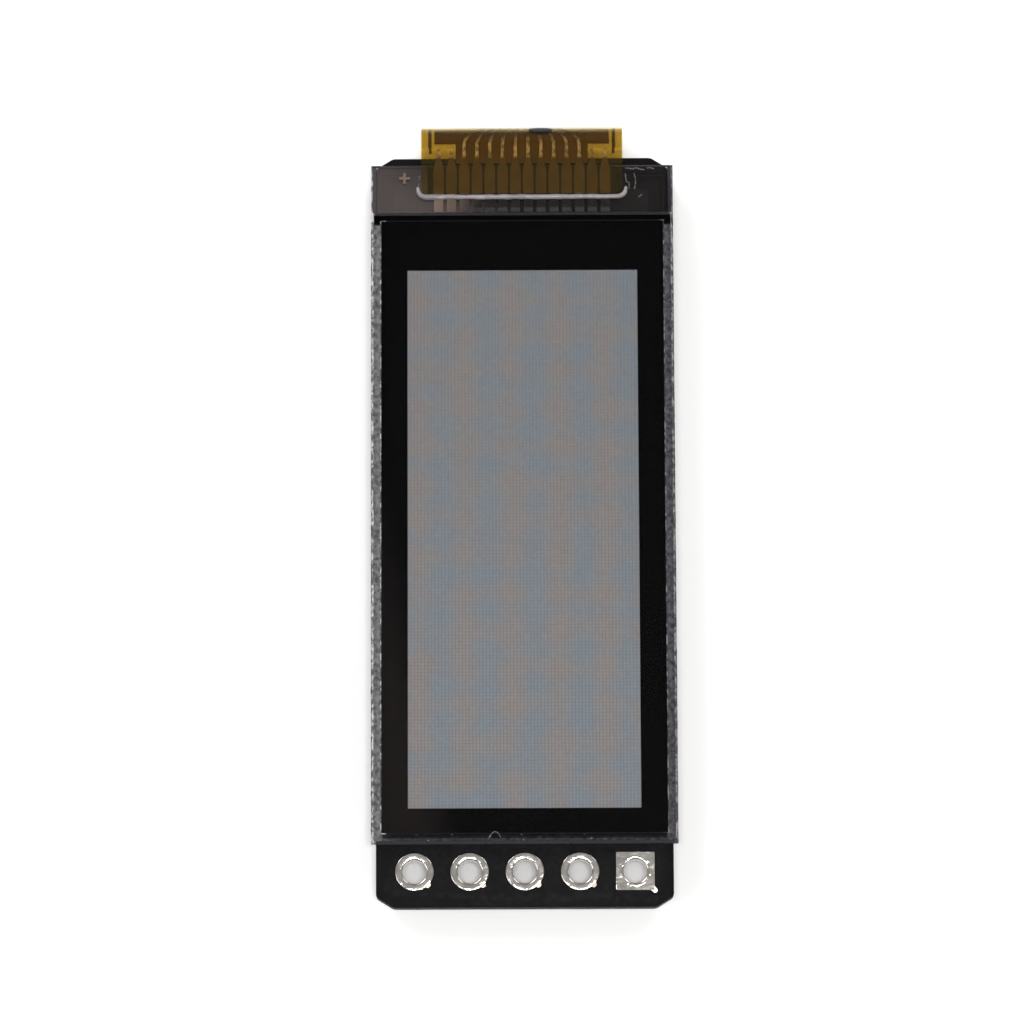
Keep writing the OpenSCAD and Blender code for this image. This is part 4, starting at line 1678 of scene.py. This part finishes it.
@dataclass
class RoundedCopy:
    """A CAD node with smoothed bends and edges rounded as moulding or stamping leaves them.

    Attributes:
        node: Name of the CAD node.
        name: Name of the piece.
        finish: Its finish.
        rounding: Width of the rounding of its sharp edges.
        body: The body that it rides on.
        slot: The record's material slot, where it isn't called like the finish.
        slim: How far its faces draw in.
    """

    node: str
    name: str
    finish: Finish
    rounding: float = 0.0
    body: Body = Body.MODULE
    slot: str = ""
    slim: float = 0.0

    def build(self) -> None:
        """Copy the node, round its sharp edges and set it in its place."""
        piece = Bench.copy_of(self.node, self.name)
        if self.slim:
            with Bench.editing(piece, Part.FACE, everything=True):
                bpy.ops.transform.shrink_fatten(value=-self.slim)
        if self.rounding:
            Bench.round_sharp(piece, self.rounding)
        Bench.dress(piece, self.finish)
        Bench.settle(piece, self.slot or self.finish.name, [self.node], self.body)


@dataclass
class Resin:
    """The resin that seals the flex's edge on the ledge.

    Attributes:
        gap: Distance of the bead's start from the flex's tip.
        end: Points of the bead's turned-up end, from the flex's corner.
        inset: Where the straight run starts, from the flex's side.
        drop: Distance of the straight run from the bead's start.
        steps: Number of steps along the straight run.
        sway: Greatest shift of a point to either side.
        radius: Radius of the bead.
        swell: Least and greatest change of that radius.
        tips: Radius at the end and beside it.
        foot: Height over the ledge at which resin is cut flat.
        seed: Seed of the shifts and changes.
        streaks: Thin streaks beside the flex, from the middle of the ledge's edge.
        beads: Beads between two points of a streak.
        streak_radius: Mean radius of a streak and its change.
        streak_wave: Turn of that change from bead to bead.
        streak_height: Share of a streak's height that is left when it has spread.
    """

    gap: float = 0.055
    end: tuple[Spot, ...] = ((0.16, 0.36), (0.14, 0.16), (0.05, 0.0), (-0.14, -0.1))
    inset: float = 0.3
    drop: float = 0.1
    steps: int = 30
    sway: float = 0.012
    radius: float = 0.118
    swell: Span = (-0.016, 0.02)
    tips: tuple[float, float] = (0.06, 0.10)
    foot: float = 0.001
    seed: int = 5
    streaks: tuple[tuple[Spot, ...], ...] = (
        ((4.84, -0.14), (5.0, -0.16), (5.2, -0.19), (5.39, -0.14), (5.55, -0.21), (5.74, -0.23)),
        ((5.85, -0.16), (6.04, -0.13), (6.2, -0.20)),
        ((4.85, -0.41), (4.87, -0.61), (4.9, -0.80), (5.04, -0.85), (5.01, -1.15)),
        ((5.27, -0.41), (5.34, -0.75), (5.28, -1.16)),
        ((5.46, -1.54), (5.55, -1.48), (5.63, -1.41)),
        ((-4.78, -0.46), (-4.82, -0.6), (-4.79, -0.74)),
        ((-4.8, -0.84), (-4.84, -0.98), (-4.79, -1.12)),
    )
    beads: int = 4
    streak_radius: tuple[float, float] = (0.03, 0.02)
    streak_wave: float = 2.3
    streak_height: float = 0.5

    def __post_init__(self) -> None:
        """Read the flex's edge and the ledge from the frame."""
        self.half = box_mm("flex_film")[1].x
        self.tip = box_mm("bond_film")[0].y
        self.ledge_end, self.ledge = box_mm("rear_glass")[1].yz

    def lay(self, resin: Piece, finish: Finish, nodes: Sequence[str] = ()) -> None:
        """Cut resin flat on the ledge, dress it and set it in its place.

        Args:
            resin: The resin.
            finish: Its finish.
            nodes: CAD nodes that it stands for.
        """
        Bench.slice(resin, (0.0, 0.0, self.ledge + self.foot), (0.0, 0.0, -1.0))
        Bench.dress(resin, finish)
        Bench.settle(resin, "pale_resin", nodes, angle=60.0)

    def build_bead(self) -> None:
        """Lay the bead along the flex's edge, uneven as it flowed, with ends that turn up."""
        draw = random.Random(self.seed)
        half, y = self.half, self.tip - self.gap
        side = [(half + dx, y + dy) for dx, dy in self.end]
        start, low = half - self.inset, y - self.drop
        middle = [(start - 2 * start * k / self.steps, low) for k in range(self.steps + 1)]
        path = side + middle + [(-x, v) for x, v in reversed(side)]
        line = [(x, v + draw.uniform(-self.sway, self.sway), self.ledge) for x, v in path]
        radii = [self.radius + draw.uniform(*self.swell) for _ in path]
        for k, tip in enumerate(self.tips):
            radii[k] = radii[-1 - k] = tip
        self.lay(Bench.tube("resin_bead", line, radii, True, 4), RESIN, ["bond_resin"])

    def build_smears(self) -> None:
        """Lay the thin streaks of resin that ran out beside the flex."""
        mean, change = self.streak_radius
        runs = []
        for k, streak in enumerate(self.streaks):
            knots = [Vector((x, self.ledge_end + y, self.ledge)) for x, y in streak]
            line = [a.lerp(b, n / self.beads) for a, b in zip(knots, knots[1:])
                    for n in range(self.beads)] + knots[-1:]
            radii = [mean + change * math.sin(self.streak_wave * n + k) for n in range(len(line))]
            runs.append(Bench.tube(f"smear_{k}", line, radii, True, 1))
        smears = Bench.join("resin_smears", runs)
        Bench.flatten(smears, self.ledge, self.streak_height)
        self.lay(smears, SMEAR)

    def build(self) -> None:
        """Build the bead and the smears."""
        self.build_bead()
        self.build_smears()


@dataclass
class FlexCircuit:
    """The amber flex that is bonded to the ledge and bends round the board's end.

    Attributes:
        film: Thickness of the base film.
        tip_corner: Rounding of its corners on the ledge.
        tail_width: Width of the tail.
        shoulder: Distance of the shoulders from the bend.
        shoulder_round: Rounding of the corner between shoulder and tail.
        shoulder_steps: Steps of that rounding.
        bend_steps: Steps of the half turn.
        dot_place: The ink dot's distance from the middle, and its angle from the bend's top.
        dot_radius: Half its length.
        dot_oval: Its width beside its length.
        dot_height: Its height.
        dot_rings: Widths of its rings beside its radius, from the rim.
        dot_rim: Rounding of its rim.
        resin: The resin on the ledge.
        layers: The copper and the films inside.
    """

    film: float = 0.04
    tip_corner: float = 0.3
    tail_width: float = 5.5
    shoulder: float = 1.2
    shoulder_round: float = 0.6
    shoulder_steps: int = 8
    bend_steps: int = 40
    dot_place: tuple[float, float] = (0.88, 48.0)
    dot_radius: float = 0.56
    dot_oval: float = 0.46
    dot_height: float = 0.014
    dot_rings: tuple[float, ...] = (0.06, 0.08, 0.1, 0.12, 0.1)
    dot_rim: float = 0.005
    resin: Resin = field(default_factory=Resin)
    layers: list[RoundedCopy] = field(default_factory=lambda: [
        RoundedCopy("flex_traces", "copper_traces", COPPER),
        RoundedCopy("flex_guards", "guard_lines", GUARD, slot="flex_copper"),
        RoundedCopy("flex_coverlay", "cover_film", BROWN_FILM),
        RoundedCopy("flex_shield", "shield_layer", SHIELD, slim=0.004),
    ])

    def __post_init__(self) -> None:
        """Read the flex's corners and find the bend's centre."""
        self.low, self.high = box_mm("flex_film")
        self.tail_end = box_mm("flex_stiffener")[0].y
        self.tip = box_mm("bond_film")[0].y
        self.radius = (self.high.z - self.low.z) / 2
        self.bend = (self.high.y - self.radius, self.low.z + self.radius)

    def build_film(self) -> None:
        """Model the base film: rounded tip, half turn, shoulders and tail."""
        y_bend = self.bend[0]
        middle = (0.0, (self.tip + y_bend) / 2, self.high.z)
        Bench.clear()
        bpy.ops.mesh.primitive_plane_add(size=1.0, location=middle)
        film = Bench.named("amber_flex")
        with Bench.editing(film, Part.VERT, everything=True):
            bpy.ops.transform.resize(value=(2 * self.high.x, y_bend - self.tip, 1.0),
                                     center_override=middle)
            bpy.ops.mesh.select_all(action="DESELECT")
            Bench.pick(film, Part.VERT, lambda v: v.co.y < self.tip + NEAR)
            bpy.ops.mesh.bevel(offset=self.tip_corner, segments=8, affect="VERTICES")
        with Bench.editing(film, Part.EDGE):
            Bench.pick(film, Part.EDGE, lambda e: all(v.co.y > y_bend - NEAR for v in e.verts))
            bpy.ops.mesh.spin(steps=self.bend_steps, angle=math.pi, center=(0.0, *self.bend),
                              axis=(1.0, 0.0, 0.0))
        self.run_tail(film, y_bend)
        with Bench.editing(film, Part.FACE):
            Bench.weld()
            bpy.ops.mesh.normals_make_consistent(inside=False)
            top = max(bmesh.from_edit_mesh(film.data).faces, key=lambda f: f.calc_center_median().z)
            if top.normal.z < 0.0:
                bpy.ops.mesh.flip_normals()
        Bench.thicken(film, self.film, -1.0)
        Bench.dress(film, AMBER)
        Bench.settle(film, "amber_film", ["flex_film"], angle=40.0)

    def run_tail(self, film: Piece, y_bend: float) -> None:
        """Extrude the film from the bend along the board's back, narrowing in rounded shoulders.

        Args:
            film: The film, with the bend made.
            y_bend: Where the bend ends.
        """
        steps, r = self.shoulder_steps, self.shoulder_round
        y_step, half_tail = y_bend - self.shoulder, self.tail_width / 2
        stations = [(y_step, self.high.x), (y_step - NEAR, half_tail + r)]
        for k in range(1, steps + 1):
            a = math.pi / 2 * k / steps
            stations.append((y_step - r * (1.0 - math.cos(a)), half_tail + r * (1.0 - math.sin(a))))
        stations.append((self.tail_end, half_tail))
        y_now, half_now = y_bend, self.high.x
        with Bench.editing(film, Part.EDGE):
            Bench.pick(film, Part.EDGE, lambda e: all(
                v.co.z < self.low.z + NEAR and abs(v.co.y - y_bend) < NEAR for v in e.verts))
            for y, half in stations:
                step = {"value": (0.0, y - y_now, 0.0)}
                bpy.ops.mesh.extrude_edges_move(TRANSFORM_OT_translate=step)
                bpy.ops.transform.resize(value=(half / half_now, 1.0, 1.0),
                                         center_override=(0.0, y, self.low.z))
                y_now, half_now = y, half

    def build_ink_dot(self) -> None:
        """Press a low dot of black ink, rounded at its rim, onto the bend."""
        x, lean = self.dot_place
        Bench.clear()
        bpy.ops.mesh.primitive_circle_add(vertices=40, radius=self.dot_radius, fill_type="NGON",
                                          location=(x, 0.0, 0.0))
        dot = Bench.named("ink_dot")
        with Bench.editing(dot, Part.FACE, everything=True):
            for share in self.dot_rings:
                bpy.ops.mesh.inset(thickness=share * self.dot_radius, depth=0.0)
            bpy.ops.mesh.poke()
            bpy.ops.mesh.select_all(action="SELECT")
            bpy.ops.transform.resize(value=(1.0, self.dot_oval, 1.0), center_override=(x, 0.0, 0.0))
        self.wrap(dot, lean)
        Bench.thicken(dot, self.dot_height, 1.0)
        Bench.round_sharp(dot, self.dot_rim)
        Bench.dress(dot, INK)
        Bench.settle(dot, "shield_film", angle=60.0)

    def wrap(self, sheet: Piece, lean: float) -> None:
        """Wrap a flat sheet round the bend, its middle line at an angle from the top.

        Args:
            sheet: The sheet, flat about the X axis.
            lean: Angle of its middle line from the top, in degrees.
        """
        y_bend, z_bend = self.bend
        for vert in sheet.data.vertices:
            angle = math.radians(lean) + vert.co.y / self.radius
            vert.co.y = y_bend + self.radius * math.sin(angle)
            vert.co.z = z_bend + self.radius * math.cos(angle)
        with Bench.editing(sheet, Part.FACE, everything=True):
            bpy.ops.mesh.normals_make_consistent(inside=False)

    def build(self) -> None:
        """Build the flex from the ledge to the tail."""
        self.build_film()
        self.resin.build()
        self.build_ink_dot()
        for node, finish in (("bond_film", BOND), ("flex_stiffener", STIFFENER)):
            Bench.keep(node, finish)
        for part in self.layers:
            part.build()


@dataclass
class BackParts:
    """The flip-lock connector and the chip parts on the board's back.

    Attributes:
        rounded: The parts, each a rounded copy of its CAD node.
    """

    rounded: list[RoundedCopy] = field(default_factory=lambda: [
        RoundedCopy("connector_housing", "socket_housing", HOUSING, 0.02),
        RoundedCopy("connector_contacts", "socket_contacts", CONTACT, 0.012),
        RoundedCopy("connector_latch", "flip_latch", LATCH, 0.02, Body.LATCH),
        RoundedCopy("connector_tabs", "hold_down_tabs", TIN, 0.03),
        RoundedCopy("capacitor_1", "chip_body_1", CERAMIC, 0.02),
        RoundedCopy("capacitor_2", "chip_body_2", CERAMIC, 0.02),
        RoundedCopy("resistor", "chip_body_3", GLAZE, 0.02),
        RoundedCopy("capacitor_1_caps", "chip_caps_1", TIN, 0.05),
        RoundedCopy("capacitor_2_caps", "chip_caps_2", TIN, 0.05),
        RoundedCopy("resistor_caps", "chip_caps_3", TIN, 0.05),
        RoundedCopy("solder_joints", "solder_fillets", TIN, 0.025),
    ])

    def build(self) -> None:
        """Build every part."""
        for part in self.rounded:
            part.build()


@dataclass
class Dust:
    """The dust on the film's edge and the short hair in front of it.

    Attributes:
        hair_radius: Radius of the hair.
        speck: Radius of a crumb.
        rough: Share of that radius by which its points shift.
        flatness: Share of its height that is left.
        sizes: Least and greatest size of a crumb.
        placed: Crumbs with a place of their own: X and distance from the film's lower edge.
        loose: Number of crumbs in front of that edge.
        loose_gaps: Least and greatest distance of those from it.
        aside: Number of crumbs at the film's sides.
        shift: How far all crumbs lie towards the header.
        rise: Height of a crumb's middle beside its radius.
        seed: Seed of places, sizes and turns.
        flake_seed: Seed of the crumb's shape.
    """

    hair_radius: float = 0.010
    speck: float = 0.028
    rough: float = 0.5
    flatness: float = 0.5
    sizes: Span = (0.6, 1.5)
    placed: tuple[Spot, ...] = (
        (-4.97, 0.0), (-3.33, 0.0), (-0.14, 0.0), (1.69, 0.0), (2.75, 0.0), (-0.05, 0.25))
    loose: int = 6
    loose_gaps: Span = (0.02, 0.3)
    aside: int = 16
    shift: float = 0.02
    rise: float = 0.3
    seed: int = 41
    flake_seed: int = 3

    def build_hair(self) -> None:
        """Lay the curled hair over the step at the film's lower edge."""
        low, high = box_mm("front_polarizer")
        edge, top, glass = low.y, high.z, low.z
        curl = (
            (-1.66, edge - 0.19, glass), (-1.6, edge - 0.09, glass + 0.05),
            (-1.53, edge, top), (-1.43, edge + 0.08, top),
            (-1.33, edge + 0.1, top), (-1.22, edge + 0.04, top),
            (-1.15, edge - 0.05, glass + 0.06), (-1.11, edge - 0.16, glass),
        )
        line = [(x, y, z + self.hair_radius) for x, y, z in curl]
        hair = Bench.tube("hair", line, [self.hair_radius] * len(line), True, 1)
        Bench.dress(hair, DUST)
        Bench.settle(hair, "pale_resin", angle=60.0)

    def build_specks(self) -> None:
        """Scatter flat crumbs along the step at the film's edges."""
        draw = random.Random(self.seed)
        low, high = box_mm("front_polarizer")
        glass = box_mm("front_glass")[1].z
        spots = [(x, low.y - gap) for x, gap in self.placed]
        spots += [(draw.uniform(low.x, high.x), low.y - draw.uniform(*self.loose_gaps))
                  for _ in range(self.loose)]
        spots += [(draw.choice((low.x, high.x)), draw.uniform(low.y, high.y))
                  for _ in range(self.aside)]
        Bench.clear()
        bpy.ops.mesh.primitive_ico_sphere_add(subdivisions=1, radius=self.speck)
        flake = Bench.named("flake")
        with Bench.editing(flake, Part.VERT, everything=True):
            bpy.ops.transform.vertex_random(offset=self.rough * self.speck, uniform=1.0,
                                            seed=self.flake_seed, wait_for_input=False)
        Bench.flatten(flake, 0.0, self.flatness)
        specks = []
        for k, (x, y) in enumerate(spots):
            size, turn = draw.uniform(*self.sizes), draw.uniform(0.0, math.tau)
            spot = (x, y - self.shift, glass + self.rise * size * self.speck)
            specks.append(Bench.copy(flake, f"speck_{k}", spot, size, turn))
        bpy.data.objects.remove(flake)
        dust = Bench.join("dust_specks", specks)
        Bench.dress(dust, DUST)
        Bench.settle(dust, "pale_resin")

    def build(self) -> None:
        """Build the hair and the specks."""
        self.build_hair()
        self.build_specks()


@dataclass
class SoftLight:
    """A soft lamp above the table.

    Attributes:
        name: Name of the lamp.
        place: Where it hangs, in metres.
        size: Its width.
        power: Its power in watts.
        colour: Its colour.
    """

    name: str
    place: Point
    size: float
    power: float
    colour: Colour = (1.0, 1.0, 1.0)

    def build(self) -> None:
        """Hang the lamp and turn it to the module."""
        light = bpy.data.lights.new(self.name, "AREA")
        light.shape = "DISK"
        light.size = self.size
        light.energy = self.power
        light.color = self.colour
        lamp = bpy.data.objects.new(self.name, light)
        lamp.location = self.place
        lamp.rotation_mode = "QUATERNION"
        lamp.rotation_quaternion = (-Vector(self.place)).to_track_quat("-Z", "Y")
        bpy.context.scene.collection.objects.link(lamp)


@dataclass
class Studio:
    """A pale table under soft light, with the camera at the photograph's angle.

    Attributes:
        table: Width of the table.
        pale: The table's two colours.
        glow: Strength of its own light.
        lens: Focal length of the camera.
        eye: Where the camera stands.
        right: The way that the picture's right side points.
        up: The way that its upper side points.
        back: The way from the module to the camera.
        ring: Heights of the surround, from below to above, with its brightness there.
        overhead: Brightness added overhead.
        overhead_ends: Heights between which that sets in.
        lights: The lamps.
    """

    table: float = 2.0
    pale: tuple[Colour, Colour] = ((0.86, 0.86, 0.86), (0.84, 0.84, 0.84))
    glow: float = 0.08
    lens: float = 193.36
    eye: Point = (0.00025, -0.04306, 0.25398)
    right: Point = (1.0, -0.0040, -0.0038)
    up: Point = (0.0047, 0.9857, 0.1684)
    back: Point = (0.003, -0.1684, 0.9857)
    ring: tuple[tuple[float, float], ...] = (
        (0.0, 0.35), (0.5, 0.5), (0.68, 0.62), (0.87, 0.6), (0.965, 0.1), (1.0, 0.0))
    overhead: float = 0.45
    overhead_ends: Span = (0.93, 0.975)
    lights: list[SoftLight] = field(default_factory=lambda: [
        SoftLight("window", (-0.20, 0.24, 0.28), 0.22, 0.6, (1.0, 0.99, 0.97)),
        SoftLight("lamp_back", (0.20, 0.24, 0.28), 0.18, 0.36),
        SoftLight("lamp_left", (-0.30, -0.10, 0.28), 0.18, 0.36),
        SoftLight("lamp_front", (0.22, -0.22, 0.28), 0.18, 0.36, (1.0, 0.96, 0.9)),
        SoftLight("lamp_top_right", (0.030, -0.044, 0.34), 0.045, 0.34),
        SoftLight("lamp_top_left", (-0.024, -0.052, 0.34), 0.045, 0.22),
    ])

    def build_table(self) -> None:
        """Lay the pale, faintly glowing light table that the module rests on."""
        Bench.clear()
        bpy.ops.mesh.primitive_plane_add(size=self.table, location=(0.0, 0.0, 0.0))
        table = Bench.named("table")
        shader = Shader("pale_table")
        inputs = {
            "Base Color": shader.mix(shader.mottle(0.02, detail=3.0), *self.pale),
            "Roughness": 0.8,
            "Specular IOR Level": 0.2,
            "Emission Color": (1.0, 1.0, 1.0, 1.0),
            "Emission Strength": self.glow,
        }
        table.data.materials.append(shader.finish(shader.add("ShaderNodeBsdfPrincipled", inputs)))

    def build_sky(self) -> None:
        """Make the soft surround, dim overhead so that the screen stays dark."""
        world = bpy.data.worlds.new("soft_surround")
        world.use_nodes = True
        tree = world.node_tree
        tree.nodes.clear()
        kinds = ("TexCoord", "SeparateXYZ", "MapRange", "ValToRGB", "MapRange", "Math",
                 "Background", "OutputWorld")
        coords, split, height, ramp, patch, total, light, output = (
            tree.nodes.new(f"ShaderNode{kind}") for kind in kinds)
        names = ("From Min", "From Max", "To Min", "To Max")
        for node, values in ((height, (-1.0, 1.0, 0.0, 1.0)),
                             (patch, (*self.overhead_ends, 0.0, self.overhead))):
            for name, value in zip(names, values):
                node.inputs[name].default_value = value
        peak = max(level for _, level in self.ring)
        stops = ramp.color_ramp.elements
        while len(stops) < len(self.ring):
            stops.new(0.5)
        for stop, (place, level) in zip(stops, self.ring):
            stop.position = place
            stop.color = (level / peak, level / peak, level / peak, 1.0)
        total.operation = "MULTIPLY_ADD"
        total.inputs[1].default_value = peak
        links = (
            (coords, "Generated", split, 0), (split, "Z", height, "Value"),
            (height, "Result", ramp, 0), (split, "Z", patch, "Value"),
            (ramp, "Color", total, 0), (patch, "Result", total, 2),
            (total, "Value", light, "Strength"), (light, "Background", output, "Surface"),
        )
        for source, out, target, socket in links:
            tree.links.new(source.outputs[out], target.inputs[socket])
        bpy.context.scene.world = world

    def build_camera(self) -> None:
        """Set the camera where the photograph was taken from."""
        data = bpy.data.cameras.new("camera")
        data.lens = self.lens
        data.clip_start = 0.01
        camera = bpy.data.objects.new("camera", data)
        columns = [Vector(v).normalized() for v in (self.right, self.up, self.back)]
        turn = Matrix(columns).transposed().to_4x4()
        camera.matrix_world = Matrix.Translation(self.eye) @ turn
        bpy.context.scene.collection.objects.link(camera)
        bpy.context.scene.camera = camera

    def build(self) -> None:
        """Set up the camera, the table and the light."""
        self.build_camera()
        self.build_table()
        self.build_sky()
        for light in self.lights:
            light.build()
        bpy.context.scene.view_settings.view_transform = "Standard"
        bpy.context.scene.cycles.transparent_max_bounces = 24


def main() -> None:
    """Build the stage and every sub-assembly, and report each piece."""
    logging.basicConfig(level=logging.INFO, format="%(name)s %(message)s")
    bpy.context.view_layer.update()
    for assembly in (Studio(), CircuitBoard(), DisplayPanel(), FlexCircuit(), BackParts(), Dust()):
        LOG.info("building %s", type(assembly).__name__)
        assembly.build()
    Bench.clear()


if __name__ == "__main__":
    main()
